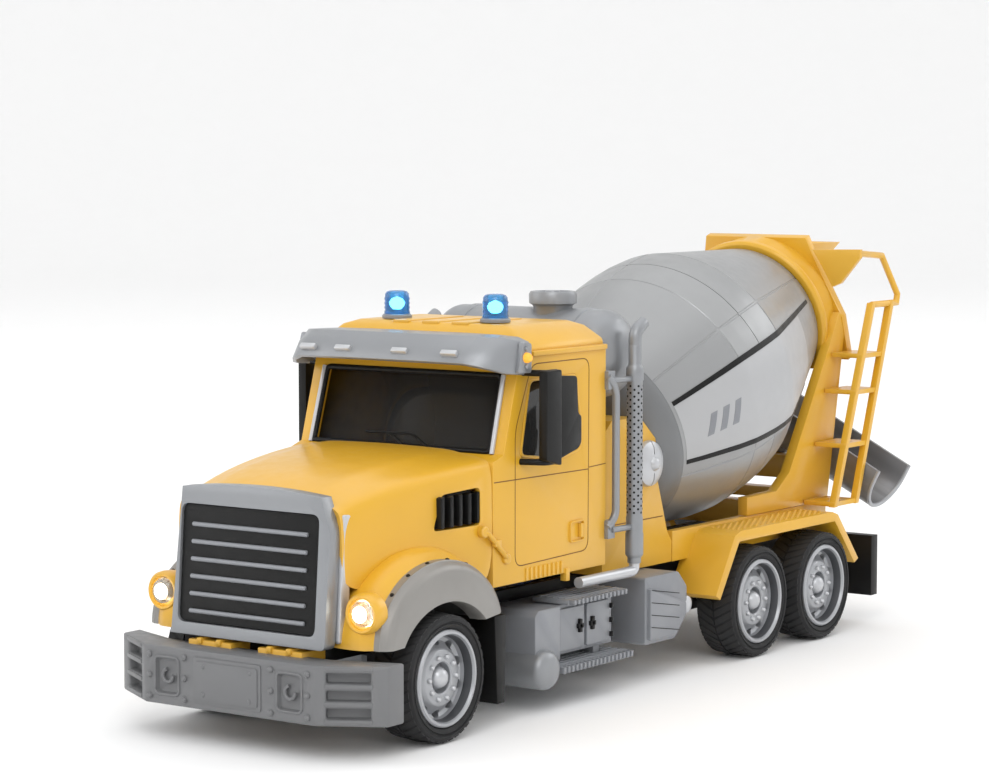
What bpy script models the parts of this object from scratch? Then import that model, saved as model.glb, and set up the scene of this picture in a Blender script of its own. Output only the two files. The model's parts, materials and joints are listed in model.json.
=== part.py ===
"""Toy cement mixer truck: a six-wheel cab with a turning drum, steering and a swinging chute.

Lengths in this script are millimetres, scaled to metres where a mesh is made.
+Z is up, the truck faces -Y and its left side is +X. The origin is on the
ground, under the middle of the whole truck.
"""
import math

import bmesh
import bpy
from mathutils import Matrix, Vector

MM = 0.001

# Driving dimensions
LENGTH = 360.0
WIDTH = 110.0
WHEEL_R = 21.0
AXLE_Z = WHEEL_R
FRONT_Y = -130.7
MID_Y = 65.0
REAR_Y = 113.5
GAP = 0.3                   # between touching pieces
RAIL_IN = 19.0
RAIL_OUT = 22.0
RAIL_LOW = 27.0
RAIL_TOP = 38.0
CAB_HALF = 43.0
CAB_BACK = -28.0
COWL_Y = -95.0
ROOF_SEAM = 121.0
ROOF_TOP = 130.0
DRUM_TILT = math.radians(18.5)
DRUM_Y = 20.0
DRUM_Z = 79.3
WALL = 1.8
KINGPIN_X = 38.0
STEER_LEVER = 12.0
TIE_PIN_X = 31.0
CHUTE_Y = 165.0
TAIL_FLAP_Y = 158.5
CHUTE_SLOPE = math.radians(27.5)
CHUTE_TOP = 84.5            # height of the trough's centre line over its pivot

# Colours
YELLOW = (0.83, 0.44, 0.05)
SILVER = (0.42, 0.43, 0.45)
DRUM_SILVER = (0.50, 0.51, 0.53)
GREY = (0.20, 0.20, 0.21)
BLACK = (0.012, 0.012, 0.012)
RUBBER = (0.02, 0.02, 0.02)
BLUE = (0.01, 0.12, 0.35)
GLASS = (0.02, 0.02, 0.02)
STEEL = (0.55, 0.55, 0.56)
GREEN = (0.02, 0.16, 0.06)
WHITE = (0.75, 0.75, 0.72)
LENS = (0.95, 0.90, 0.70)


# ---------------------------------------------------------------- materials

def material(name, colour, roughness=0.4, metallic=0.0):
    """A Principled BSDF with one colour."""
    mat = bpy.data.materials.new(name)
    mat.use_nodes = True
    shader = mat.node_tree.nodes["Principled BSDF"]
    shader.inputs["Base Color"].default_value = (*colour, 1.0)
    shader.inputs["Roughness"].default_value = roughness
    shader.inputs["Metallic"].default_value = metallic
    return mat


def clear_scene():
    for obj in list(bpy.data.objects):
        bpy.data.objects.remove(obj, do_unlink=True)


clear_scene()
MAT = {
    "yellow": material("yellow_plastic", YELLOW, 0.35),
    "silver": material("silver_paint", SILVER, 0.35, 0.6),
    "drum": material("drum_paint", DRUM_SILVER, 0.3, 0.6),
    "grey": material("grey_plastic", GREY, 0.5),
    "black": material("black_plastic", BLACK, 0.5),
    "rubber": material("tyre_rubber", RUBBER, 0.8),
    "blue": material("blue_lens", BLUE, 0.1),
    "glass": material("tinted_glass", GLASS, 0.05),
    "steel": material("steel", STEEL, 0.25, 1.0),
    "green": material("board_green", GREEN, 0.4),
    "white": material("white_nylon", WHITE, 0.5),
    "lens": material("clear_lens", LENS, 0.1),
}


# ---------------------------------------------------------------- shape helpers

def new_object(name, bm, placement=None):
    """An object from a bmesh in millimetres, moved by a matrix in millimetres."""
    if placement is not None:
        bm.transform(placement)
    bm.transform(Matrix.Scale(MM, 4))
    bmesh.ops.recalc_face_normals(bm, faces=bm.faces)
    mesh = bpy.data.meshes.new(name)
    bm.to_mesh(mesh)
    bm.free()
    obj = bpy.data.objects.new(name, mesh)
    bpy.context.scene.collection.objects.link(obj)
    return obj


def prism(outline, axis, low, high, placement=None):
    """A flat outline pushed along an axis. The outline is (y, z), (x, z) or (x, y)."""
    spots = {
        "X": lambda p, h: (h, p[0], p[1]),
        "Y": lambda p, h: (p[0], h, p[1]),
        "Z": lambda p, h: (p[0], p[1], h),
    }[axis]
    bm = bmesh.new()
    ends = [[bm.verts.new(spots(p, h)) for p in outline] for h in (low, high)]
    bm.faces.new(ends[0])
    bm.faces.new(list(reversed(ends[1])))
    count = len(outline)
    for i in range(count):
        j = (i + 1) % count
        bm.faces.new((ends[0][i], ends[1][i], ends[1][j], ends[0][j]))
    return new_object("prism", bm, placement)


def box(low, high, placement=None):
    outline = [(low[0], low[1]), (high[0], low[1]), (high[0], high[1]), (low[0], high[1])]
    return prism(outline, "Z", low[2], high[2], placement)


def hull(points):
    """The convex solid around some points."""
    bm = bmesh.new()
    for p in points:
        bm.verts.new(p)
    bmesh.ops.convex_hull(bm, input=bm.verts)
    return new_object("hull", bm)


def turned(profile, placement, steps):
    """A closed (radius, height) profile turned about local Z. Radius 0 meets the axis."""
    bm = bmesh.new()
    rings = []
    for radius, height in profile:
        if radius == 0.0:
            rings.append([bm.verts.new((0.0, 0.0, height))])
            continue
        ring = []
        for k in range(steps):
            angle = 2.0 * math.pi * (k + 0.5) / steps
            ring.append(bm.verts.new((radius * math.cos(angle), radius * math.sin(angle), height)))
        rings.append(ring)
    hollow = all(len(ring) > 1 for ring in rings)
    last = len(rings) if hollow else len(rings) - 1
    for i in range(last):
        a = rings[i]
        b = rings[(i + 1) % len(rings)]
        for k in range(steps):
            n = (k + 1) % steps
            corners = [a[k % len(a)], a[n % len(a)], b[n % len(b)], b[k % len(b)]]
            unique = list(dict.fromkeys(corners))
            bm.faces.new(unique)
    return new_object("turned", bm, placement)


def along(origin, direction, spin=0.0):
    """A placement with local Z along a direction, from an origin."""
    turn = Vector(direction).to_track_quat("Z", "Y").to_matrix().to_4x4()
    return Matrix.Translation(Vector(origin)) @ turn @ Matrix.Rotation(spin, 4, "Z")


def rod(start, end, radius, steps=12):
    """A round bar between two points."""
    start = Vector(start)
    span = Vector(end) - start
    profile = [(0.0, 0.0), (radius, 0.0), (radius, span.length), (0.0, span.length)]
    return turned(profile, along(start, span), steps)


def tube(points, radius, steps=8):
    """A round bar through a list of points, mitred at each bend."""
    spots = [Vector(p) for p in points]
    bm = bmesh.new()
    rings = []
    side = Vector((1.0, 0.0, 0.0))
    for i, spot in enumerate(spots):
        before = (spot - spots[i - 1]).normalized() if i > 0 else None
        after = (spots[i + 1] - spot).normalized() if i < len(spots) - 1 else None
        tangent = ((before or after) + (after or before)).normalized()
        travel = after or before
        if abs(travel.dot(side)) > 0.9:
            side = Vector((0.0, 0.0, 1.0))
        u = (side - travel * side.dot(travel)).normalized()
        v = travel.cross(u)
        ring = []
        for k in range(steps):
            angle = 2.0 * math.pi * k / steps
            spoke = (u * math.cos(angle) + v * math.sin(angle)) * radius
            spoke -= travel * (spoke.dot(tangent) / travel.dot(tangent))
            ring.append(bm.verts.new(spot + spoke))
        rings.append(ring)
    for a, b in zip(rings, rings[1:]):
        for k in range(steps):
            n = (k + 1) % steps
            bm.faces.new((a[k], a[n], b[n], b[k]))
    bm.faces.new(rings[0])
    bm.faces.new(list(reversed(rings[-1])))
    return new_object("tube", bm)


def evaluated_mesh(obj):
    graph = bpy.context.evaluated_depsgraph_get()
    return bpy.data.meshes.new_from_object(obj.evaluated_get(graph))


def apply_modifiers(obj):
    mesh = evaluated_mesh(obj)
    obj.modifiers.clear()
    obj.data = mesh


def combine(name, finish, parts, cuts=()):
    """One named solid: the union of its parts, less its cuts."""
    base = parts[0]
    steps = [(p, "UNION") for p in parts[1:]] + [(c, "DIFFERENCE") for c in cuts]
    for other, operation in steps:
        modifier = base.modifiers.new(operation, "BOOLEAN")
        modifier.operation = operation
        modifier.solver = "EXACT"
        modifier.object = other
    apply_modifiers(base)
    for other, _ in steps:
        bpy.data.objects.remove(other, do_unlink=True)
    base.name = name
    base.data.name = name
    base.data.materials.clear()
    base.data.materials.append(MAT[finish])
    base.data.shade_smooth()
    base.data.set_sharp_from_angle(angle=math.radians(35.0))
    return base


def other_side(obj, name):
    """The mirror image of a piece across the truck's middle plane."""
    bm = bmesh.new()
    bm.from_mesh(obj.data)
    bm.transform(Matrix.Scale(-1.0, 4, (1.0, 0.0, 0.0)))
    bmesh.ops.reverse_faces(bm, faces=bm.faces)
    mesh = bpy.data.meshes.new(name)
    bm.to_mesh(mesh)
    bm.free()
    mesh.materials.append(obj.data.materials[0])
    twin = bpy.data.objects.new(name, mesh)
    bpy.context.scene.collection.objects.link(twin)
    return twin


def both_sides(stem, make):
    """Makes stem_left, and stem_right as its mirror image."""
    left = make(stem + "_left")
    other_side(left, stem + "_right")


def arc(centre, radii, start, end, steps):
    """Points on an ellipse, angles in degrees."""
    points = []
    for i in range(steps + 1):
        angle = math.radians(start + (end - start) * i / steps)
        points.append((centre[0] + radii[0] * math.cos(angle), centre[1] + radii[1] * math.sin(angle)))
    return points


def gear_outline(teeth, module, phase):
    """A spur gear's outline with a tooth centred at the phase angle."""
    pitch = teeth * module / 2.0
    tip = pitch + 0.9 * module
    root = pitch - 1.2 * module
    step = 2.0 * math.pi / teeth
    points = []
    for i in range(teeth):
        middle = phase + i * step
        for radius, offset in ((root, -0.26), (tip, -0.10), (tip, 0.10), (root, 0.26)):
            angle = middle + offset * step
            points.append((radius * math.cos(angle), radius * math.sin(angle)))
    return points


# ---------------------------------------------------------------- drum axis

AXIS = Vector((0.0, math.cos(DRUM_TILT), math.sin(DRUM_TILT)))
ACROSS = Vector((0.0, -math.sin(DRUM_TILT), math.cos(DRUM_TILT)))
DRUM_START = Vector((0.0, DRUM_Y, DRUM_Z))


def drum_frame():
    """Local Z runs along the drum, local Y points up across it and local X to the right."""
    turn = Matrix((Vector((-1.0, 0.0, 0.0)), ACROSS, AXIS)).transposed().to_4x4()
    return Matrix.Translation(DRUM_START) @ turn


DRUM = drum_frame()
FRONT_POLE = -9.0
SPLIT = 61.0
MOUTH = 139.0
DRUM_SKIN = ((11.0, 37.5), (28.0, 43.6), (46.5, 48.5), (SPLIT, 49.2))
DRUM_TAIL = ((SPLIT, 49.2), (75.5, 48.2), (128.5, 30.6), (130.6, 27.2), (MOUTH, 27.2))
DRUM_WALL = 2.0
DRUM_STEPS = 36


def dome(pole, edge_at, edge_radius, count):
    """A quarter ellipse from the drum's front pole to the edge of its dome."""
    return [
        (edge_radius * math.sin(0.5 * math.pi * i / count),
         edge_at - (edge_at - pole) * math.cos(0.5 * math.pi * i / count))
        for i in range(count)
    ]


def drum_front_shell():
    outer = dome(FRONT_POLE, DRUM_SKIN[0][0], DRUM_SKIN[0][1], 4)
    outer += [(radius, at) for at, radius in DRUM_SKIN]
    outer[-1] = (outer[-1][0], SPLIT - GAP / 2)
    inner = [(radius - DRUM_WALL, at) for radius, at in outer[4:]]
    inner += [(radius - DRUM_WALL, at + 1.2) for radius, at in outer[3:1:-1]]
    inner += [(0.0, FRONT_POLE + DRUM_WALL)]
    inner[0:4] = list(reversed(inner[0:4]))
    shell = turned(outer + inner, DRUM, DRUM_STEPS)
    shaft = turned([(0.0, -30.0), (3.0, -30.0), (3.0, FRONT_POLE + 1.0), (0.0, FRONT_POLE + 1.0)], DRUM, 16)
    return combine("drum_front_shell", "drum", [shell, shaft])


def drum_rear_shell():
    outer = [(radius, at) for at, radius in DRUM_TAIL]
    outer[0] = (outer[0][0], SPLIT + GAP / 2)
    inner = [(radius - DRUM_WALL, at) for radius, at in reversed(outer)]
    return combine("drum_rear_shell", "drum", [turned(outer + inner, DRUM, DRUM_STEPS)])


DRUM_TEETH = 36
DRUM_PINION_TEETH = 10
DRUM_MODULE = 0.8
DRUM_GEAR_AT = -16.5
GEAR_THICK = 3.0
DRUM_CENTRES = (DRUM_TEETH + DRUM_PINION_TEETH) * DRUM_MODULE / 2.0 + 0.25


def drum_gears():
    down = math.radians(-90.0)
    blank = prism(gear_outline(DRUM_TEETH, DRUM_MODULE, down), "Z",
                  DRUM_GEAR_AT, DRUM_GEAR_AT + GEAR_THICK, DRUM)
    bore = turned([(0.0, -40.0), (3.0 + GAP, -40.0), (3.0 + GAP, 0.0), (0.0, 0.0)], DRUM, 16)
    combine("drum_gear", "white", [blank], [bore])
    seat = DRUM @ Matrix.Translation((0.0, -DRUM_CENTRES, 0.0))
    gap_up = math.radians(90.0) + math.pi / DRUM_PINION_TEETH
    pinion = prism(gear_outline(DRUM_PINION_TEETH, DRUM_MODULE, gap_up), "Z",
                   DRUM_GEAR_AT, DRUM_GEAR_AT + GEAR_THICK, seat)
    combine("drum_pinion", "white", [pinion])
    can = turned([(0.0, -37.0), (7.5, -37.0), (7.5, DRUM_GEAR_AT - 1.0), (0.0, DRUM_GEAR_AT - 1.0)], seat, 16)
    combine("drum_motor", "steel", [can])


# ---------------------------------------------------------------- chassis

def rail_outline():
    """Side view of a chassis rail with its axle hangers and its deeper battery bay."""
    points = [(-163.0, RAIL_LOW), (-163.0, RAIL_TOP), (150.0, RAIL_TOP), (150.0, RAIL_LOW)]
    for y in (REAR_Y, MID_Y):
        points += [(y + 8.5, RAIL_LOW), (y + 4.5, 15.5), (y - 4.5, 15.5), (y - 8.5, RAIL_LOW)]
    return points + [(25.0, RAIL_LOW), (25.0, 13.0), (-65.0, 13.0), (-65.0, RAIL_LOW)]


def chassis_frame():
    rails = [
        prism(rail_outline(), "X", RAIL_IN, RAIL_OUT),
        prism(rail_outline(), "X", -RAIL_OUT, -RAIL_IN),
    ]
    inside = RAIL_IN + 1.0
    crossers = [
        box((-inside, -161.0, 28.0), (inside, -156.0, 37.0)),
        box((-inside, -100.0, 28.0), (inside, -96.5, 37.0)),
        box((-inside, -64.8, 13.2), (inside, -63.0, 37.8)),
        box((-inside, 4.0, 13.2), (inside, 6.0, 37.8)),
        box((-inside, 5.5, 13.2), (inside, 24.8, 15.0)),
        box((-inside, 38.0, 28.0), (inside, 42.0, 37.0)),
        box((-inside, 88.0, 28.0), (inside, 92.0, 37.0)),
    ]
    arms = []
    for side in (1.0, -1.0):
        for z in (29.6, 9.8):
            low = (min(side * 20.5, side * 41.0), FRONT_Y - 3.3, z)
            high = (max(side * 20.5, side * 41.0), FRONT_Y + 3.3, z + 2.6)
            arms.append(box(low, high))
        near = (min(side * 20.5, side * 26.0), FRONT_Y - 3.0, 10.0)
        far = (max(side * 20.5, side * 26.0), FRONT_Y + 3.0, 30.5)
        arms.append(box(near, far))
        low, high = sorted((side * 20.0, side * 47.0))
        arms.append(box((low, TAIL_FLAP_Y, 11.0), (high, TAIL_FLAP_Y + 5.0, 35.0)))
    tail_beam = box((-26.0, 148.5, 29.0), (26.0, TAIL_FLAP_Y + 1.0, 36.5))
    holes = []
    for y in (MID_Y, REAR_Y):
        holes.append(rod((-30.0, y, AXLE_Z), (30.0, y, AXLE_Z), 1.5 + GAP, 16))
    for x in (KINGPIN_X, -KINGPIN_X):
        holes.append(rod((x, FRONT_Y, 5.0), (x, FRONT_Y, 36.0), 1.3 + GAP, 12))
    holes.append(box((-1.8, 11.0, 12.0), (1.8, 18.5, 16.0)))
    return combine("chassis_frame", "black", rails + crossers + arms + [tail_beam], holes)


def front_bumper():
    """A bar with swept-back wings, seen from above."""
    half = WIDTH / 2.0
    front = -LENGTH / 2.0
    plan = [
        (-34.7, front), (34.7, front), (half, front + 11.8), (half, front + 20.0),
        (33.0, front + 12.0), (-33.0, front + 12.0), (-half, front + 20.0), (-half, front + 11.8),
    ]
    bar = prism(plan, "Z", 11.6, 30.6)
    stays = [box((x - 3.0, front + 9.0, 20.0), (x + 3.0, -163.6, 27.0)) for x in (-20.5, 20.5)]
    return combine("front_bumper", "grey", [bar] + stays)


def battery_and_electrics():
    combine("battery_pack", "blue", [box((-16.0, -60.0, 16.0), (16.0, 2.0, 34.0))])
    combine("battery_door", "black", [box((-18.4, -62.4, 13.2), (18.4, 3.4, 15.2))])
    combine("circuit_board", "green", [box((-17.0, -93.0, 33.0), (17.0, -69.0, 34.6))])
    combine("steering_motor", "black", [box((-9.0, -112.0, 26.8), (9.0, -100.6, 37.0))])
    knob = box((-1.3, 13.2, 11.2), (1.3, 16.3, 16.0))
    cap = box((-3.0, 12.0, 15.4), (3.0, 17.5, 17.0))
    combine("power_switch", "black", [cap, knob])


# ---------------------------------------------------------------- hood and cab

HOOD_FRONT = -160.5
FENDER_OUT = 43.3
LAMP_X = 39.6
LAMP_Z = 45.0
LAMP_FACE = -164.9
LAMP_BACK = -158.0
LAMP_STEM_R = 3.0


def hood_shell():
    """A tapering bonnet skin, open below, with two solid wheel arches."""
    rows = []
    for y, half, top, low in (
        (HOOD_FRONT, 33.5, 80.0, 52.0),
        (-150.0, 36.0, 84.5, 52.0),
        (-125.0, 39.5, 88.5, 50.0),
        (COWL_Y - GAP, 42.6, 90.3, 46.0),
    ):
        shoulder = top - 3.5
        rows.append([
            (-half, y, low), (-half, y, shoulder - 6.0), (-half + 3.0, y, shoulder), (-half * 0.45, y, top),
            (half * 0.45, y, top), (half - 3.0, y, shoulder), (half, y, shoulder - 6.0), (half, y, low),
        ])
    bm = bmesh.new()
    grid = [[bm.verts.new(p) for p in row] for row in rows]
    for a, b in zip(grid, grid[1:]):
        for k in range(len(a) - 1):
            bm.faces.new((a[k], a[k + 1], b[k + 1], b[k]))
    skin = new_object("skin", bm)
    thick = skin.modifiers.new("thickness", "SOLIDIFY")
    thick.thickness = WALL * MM
    thick.offset = -1.0
    apply_modifiers(skin)
    arches = []
    for side in (1.0, -1.0):
        low, high = sorted((side * 33.8, side * FENDER_OUT))
        arches.append(prism(fender_outline(), "X", low, high))
    sockets = [rod((x, -170.0, LAMP_Z), (x, LAMP_BACK + GAP, LAMP_Z), LAMP_STEM_R + GAP, 14)
               for x in (LAMP_X, -LAMP_X)]
    return combine("hood_shell", "yellow", [skin] + arches, sockets)


def fender_outline():
    """Side view of a front arch, between its crown and the wheel opening."""
    outer = arc((-130.0, 33.6), (33.0, 24.0), 180.0, 20.0, 12)
    inner = arc((-129.0, 24.0), (25.0, 20.5), 40.0, 152.0, 10)
    return outer + inner


def flare_outline():
    outer = arc((-132.0, 33.6), (33.8, 24.6), 180.0, 12.0, 14)
    inner = arc((-129.0, 24.0), (25.4, 20.9), 38.0, 152.5, 10)
    return outer + inner


def fender_flare(name):
    return combine(name, "silver", [prism(flare_outline(), "X", FENDER_OUT + GAP, 50.0)])


def arch_liner():
    """The black wheel-arch rear walls and mudflaps, joined across the chassis."""
    flaps = []
    for side in (1.0, -1.0):
        low, high = sorted((side * 27.0, side * 49.0))
        outline = [(-101.0, 8.0), (-97.0, 8.0), (-96.0, 37.0), (-102.5, 37.0)]
        flaps.append(prism(outline, "X", low, high))
    bridge = box((-30.0, -101.6, 38.4), (30.0, -96.5, 40.4))
    posts = []
    for side in (1.0, -1.0):
        low, high = sorted((side * 27.2, side * 30.0))
        posts.append(box((low, -101.5, 30.0), (high, -97.0, 40.0)))
    return combine("arch_liner", "black", [bridge] + flaps + posts)


def cab_profile(inset=0.0):
    """Side view of the cab below the roof: cowl, raked screen, roof seam and back."""
    i = inset
    return [
        (COWL_Y + i, 45.0 - 2.0 * i), (COWL_Y + i, 86.5), (-89.0 + i, 88.5), (-76.5 + i, 114.5),
        (-74.0 + i, ROOF_SEAM - i), (CAB_BACK - i, ROOF_SEAM - i), (CAB_BACK - i, 45.0 - 2.0 * i),
    ]


def side_window(low, high):
    outline = [(-74.5, 112.5), (-46.5, 112.9), (-42.8, 94.8), (-43.3, 86.3), (-56.1, 84.0), (-80.0, 87.0)]
    return prism(outline, "X", low, high)


def cab_shell():
    body = prism(cab_profile(), "X", -CAB_HALF, CAB_HALF)
    hollow = prism(cab_profile(2.0), "X", -CAB_HALF + 2.0, CAB_HALF - 2.0)
    screen = hull([(x, y, z) for x in (-38.5, 38.5) for y, z in ((-97.0, 90.0), (-97.0, 112.5), (-70.0, 112.5),
                                                                   (-70.0, 90.0))])
    windows = side_window(-CAB_HALF - 2.0, CAB_HALF + 2.0)
    return combine("cab_shell", "yellow", [body], [hollow, screen, windows])


def cab_glazing():
    """One clear moulding behind the windscreen and both side windows."""
    edge = 2.0 + GAP
    outer = prism(cab_profile(edge), "X", -CAB_HALF + edge, CAB_HALF - edge)
    core = prism(cab_profile(edge + 1.4), "X", -CAB_HALF + edge + 1.4, CAB_HALF - edge - 1.4)
    below = box((-60.0, -110.0, 20.0), (60.0, 0.0, 82.0))
    above = box((-60.0, -110.0, 116.0), (60.0, 0.0, 140.0))
    behind = box((-60.0, -40.0, 20.0), (60.0, 0.0, 140.0))
    return combine("cab_glazing", "glass", [outer], [core, below, above, behind])


def cab_roof():
    low = [(x, y, ROOF_SEAM + GAP) for x in (-CAB_HALF, CAB_HALF) for y in (-77.0, CAB_BACK)]
    mid = [(x, y, ROOF_SEAM + 4.0) for x in (-41.5, 41.5) for y in (-77.0, CAB_BACK - 0.5)]
    top = [(x, y, ROOF_TOP) for x in (-33.0, 33.0) for y in (-70.0, CAB_BACK - 6.0)]
    return combine("cab_roof", "yellow", [hull(low + mid + top)])


def cab_interior():
    """Floor, dashboard, two seats and a steering wheel in one moulding."""
    floor = box((-40.0, -92.0, 46.0), (40.0, -31.0, 49.0))
    dash = box((-36.0, -89.0, 48.0), (36.0, -80.0, 82.0))
    seats = []
    for x in (-19.0, 19.0):
        seats.append(box((x - 11.0, -58.0, 48.0), (x + 11.0, -36.0, 68.0)))
        seats.append(box((x - 11.0, -44.0, 66.0), (x + 11.0, -36.5, 100.0)))
    column = rod((19.0, -81.5, 78.0), (19.0, -74.0, 83.0), 1.6, 8)
    rim = turned([(0.0, 0.0), (8.0, 0.0), (8.0, 1.8), (0.0, 1.8)], along((19.0, -75.0, 82.4), (0.0, 0.83, 0.55)), 16)
    return combine("cab_interior", "black", [floor, dash, column, rim] + seats)


def grille():
    outline = [(-32.5, 33.5), (32.5, 33.5), (32.5, 70.0), (31.0, 77.0), (26.0, 81.0), (0.0, 82.5),
               (-26.0, 81.0), (-31.0, 77.0), (-32.5, 70.0)]
    opening = [(-27.0, 38.0), (27.0, 38.0), (27.0, 74.5), (-27.0, 74.5)]
    shear = Matrix(((1.0, 0.0, 0.0, 0.0), (0.0, 1.0, 0.075, -2.6), (0.0, 0.0, 1.0, 0.0), (0.0, 0.0, 0.0, 1.0)))
    frame_piece = prism(outline, "Y", -170.5, HOOD_FRONT - 3.9, shear)
    cut = prism(opening, "Y", -175.0, -160.0, shear)
    combine("grille_surround", "silver", [frame_piece], [cut])
    g = GAP
    panel = prism([(-27.0 + g, 38.0 + g), (27.0 - g, 38.0 + g), (27.0 - g, 74.5 - g), (-27.0 + g, 74.5 - g)],
                  "Y", -168.0, -166.0, shear)
    bars = [box((-23.8, -169.6, 41.2 + 5.56 * i - 0.7), (23.8, -167.5, 41.2 + 5.56 * i + 0.7), shear)
            for i in range(6)]
    combine("grille_insert", "black", [panel] + bars)


def headlight(name):
    stem = LAMP_BACK - LAMP_FACE
    lamp = [(0.0, -stem), (LAMP_STEM_R, -stem), (LAMP_STEM_R, 0.0), (5.8, 0.0), (5.8, 2.4), (4.4, 3.6), (0.0, 4.0)]
    return combine(name, "lens", [turned(lamp, along((LAMP_X, LAMP_FACE, LAMP_Z), (0.0, -1.0, 0.0)), 20)])


def sun_visor():
    """A drooping peak over the windscreen, with swept-back ends."""
    plan_low = [(-36.0, -100.5), (36.0, -100.5), (46.5, -90.0), (46.5, -80.0), (-46.5, -80.0), (-46.5, -90.0)]
    shade = [(x, y, z) for (x, y), z in zip(plan_low, (119.0, 119.0, 114.8, 115.5, 115.5, 114.8))]
    roof_line = [(-35.0, -92.0, 127.5), (35.0, -92.0, 127.5), (42.5, -80.0, 126.5), (-42.5, -80.0, 126.5)]
    solid = hull(shade + roof_line)
    under = hull([(x * 0.93, y + 2.0, z - 1.2) for x, y, z in shade] +
                 [(x * 0.93, y + 2.0, z - 2.2) for x, y, z in roof_line] +
                 [(-40.0, -96.0, 105.0), (40.0, -96.0, 105.0), (-42.0, -70.0, 105.0), (42.0, -70.0, 105.0),
                  (-40.0, -70.0, 124.0), (40.0, -70.0, 124.0)])
    clear = box((-60.0, -77.0 - GAP, 100.0), (60.0, -60.0, 140.0))
    return combine("sun_visor", "silver", [solid], [under, clear])


def beacon(name):
    lamp = [(0.0, 0.0), (5.0, 0.0), (5.0, 1.0), (4.6, 1.4), (4.4, 8.2), (3.2, 9.3), (0.0, 9.6)]
    return combine(name, "blue", [turned(lamp, along((21.0, -63.0, ROOF_TOP + GAP), (0.0, 0.0, 1.0)), 20)])


def mirror(name):
    """A tall mirror housing held off the door pillar by two arms."""
    glass_box = box((49.5, -78.3, 84.0), (53.0, -57.0, 116.0))
    top_arm = box((CAB_HALF + GAP, -78.0, 113.0), (50.5, -74.5, 115.0))
    low_arm = box((CAB_HALF + GAP, -78.0, 84.4), (50.5, -74.5, 86.4))
    return combine(name, "black", [glass_box, top_arm, low_arm])


STACK_X = 45.2
STACK_Y = -13.0
STACK_ARMS = (56.0, 108.0)


def exhaust_stack(name):
    """The stack with its two collars, curled tip, elbow, side rail and arms."""
    profile = [(0.0, 44.0), (2.4, 44.0), (2.4, 46.0), (3.2, 47.0), (3.2, 60.3), (2.9, 61.0), (2.9, 108.0),
               (3.2, 108.6), (3.2, 112.6), (2.4, 113.6), (2.4, 119.0), (0.0, 119.0)]
    stack = turned(profile, Matrix.Translation((STACK_X, STACK_Y, 0.0)), 14)
    tip = tube([(STACK_X, STACK_Y, 117.5), (STACK_X, STACK_Y, 122.5), (STACK_X, STACK_Y + 1.6, 126.0),
                (STACK_X, STACK_Y + 5.2, 128.0)], 2.3, 10)
    elbow = tube([(STACK_X, STACK_Y, 46.0), (STACK_X, STACK_Y - 0.8, 42.6), (STACK_X, STACK_Y - 3.6, 41.0),
                  (STACK_X, -48.0, 41.0)], 2.0, 8)
    arms = [box((41.0, -27.4, z), (46.5, STACK_Y, z + 4.0)) for z in STACK_ARMS]
    rail = rod((44.4, -24.0, STACK_ARMS[0] + 1.0), (44.4, -24.0, STACK_ARMS[1] + 3.0), 1.5, 10)
    return combine(name, "silver", [stack, tip, elbow, rail] + arms)


def water_tank():
    """The cross tank behind the roof with its round filler neck."""
    barrel = [(0.0, -40.4), (9.0, -39.6), (14.0, -36.0), (15.5, -30.0), (15.5, 30.0), (14.0, 36.0), (9.0, 39.6),
              (0.0, 40.4)]
    body = turned(barrel, along((0.0, -10.5, 117.0), (1.0, 0.0, 0.0)), 20)
    neck = turned([(0.0, 128.0), (7.2, 128.0), (7.2, 134.0), (8.6, 134.6), (8.6, 138.0), (7.4, 139.0), (0.0, 139.0)],
                  Matrix.Translation((9.4, -11.5, 0.0)), 18)
    room = turned([(0.0, FRONT_POLE - 4.0), (38.6, 9.0), (44.8, 27.0), (50.0, 46.0), (51.0, 60.0), (0.0, 60.0)],
                  DRUM, 24)
    return combine("water_tank", "silver", [body, neck], [room])


def running_board(name):
    """Tool box, treads, air tank and rear locker, joined by a side bracket."""
    bracket = box((RAIL_OUT + GAP, -74.0, 22.0), (26.0, 19.0, 33.0))
    tool_box = box((24.0, -75.0, 16.6), (46.0, -25.0, 34.8))
    tread = box((30.0, -70.0, 34.4), (50.0, -24.0, 36.8))
    step = box((33.0, -64.0, 12.2), (50.0, -20.0, 15.0))
    stays = [box((36.0, y, 14.0), (42.0, y + 4.0, 18.0)) for y in (-58.0, -34.0)]
    tank = rod((24.0, -77.0, 14.6), (48.5, -77.0, 14.6), 6.8, 16)
    locker_view = [(-8.0, 14.0), (12.0, 14.0), (20.0, 22.0), (20.0, 32.0), (14.0, 38.0), (-8.0, 38.0)]
    locker = prism(locker_view, "X", 24.0, 48.0)
    bottle = rod((30.0, 21.0, 25.0), (47.0, 21.0, 25.0), 3.6, 12)
    return combine(name, "silver", [bracket, tool_box, tread, step, tank, locker, bottle] + stays)


# ---------------------------------------------------------------- drum supports and rear bodywork

def drum_room(extra):
    """The space the turning drum needs, a little larger than the drum."""
    profile = [(0.0, FRONT_POLE - extra)]
    profile += [(radius + extra, at) for radius, at in dome(FRONT_POLE - extra, 11.0, 37.5, 4)[1:]]
    profile += [(radius + extra, at) for at, radius in DRUM_SKIN[:-1]]
    profile += [(radius + extra, at) for at, radius in DRUM_TAIL]
    profile += [(0.0, MOUTH)]
    return turned(profile, DRUM, DRUM_STEPS)


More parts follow.
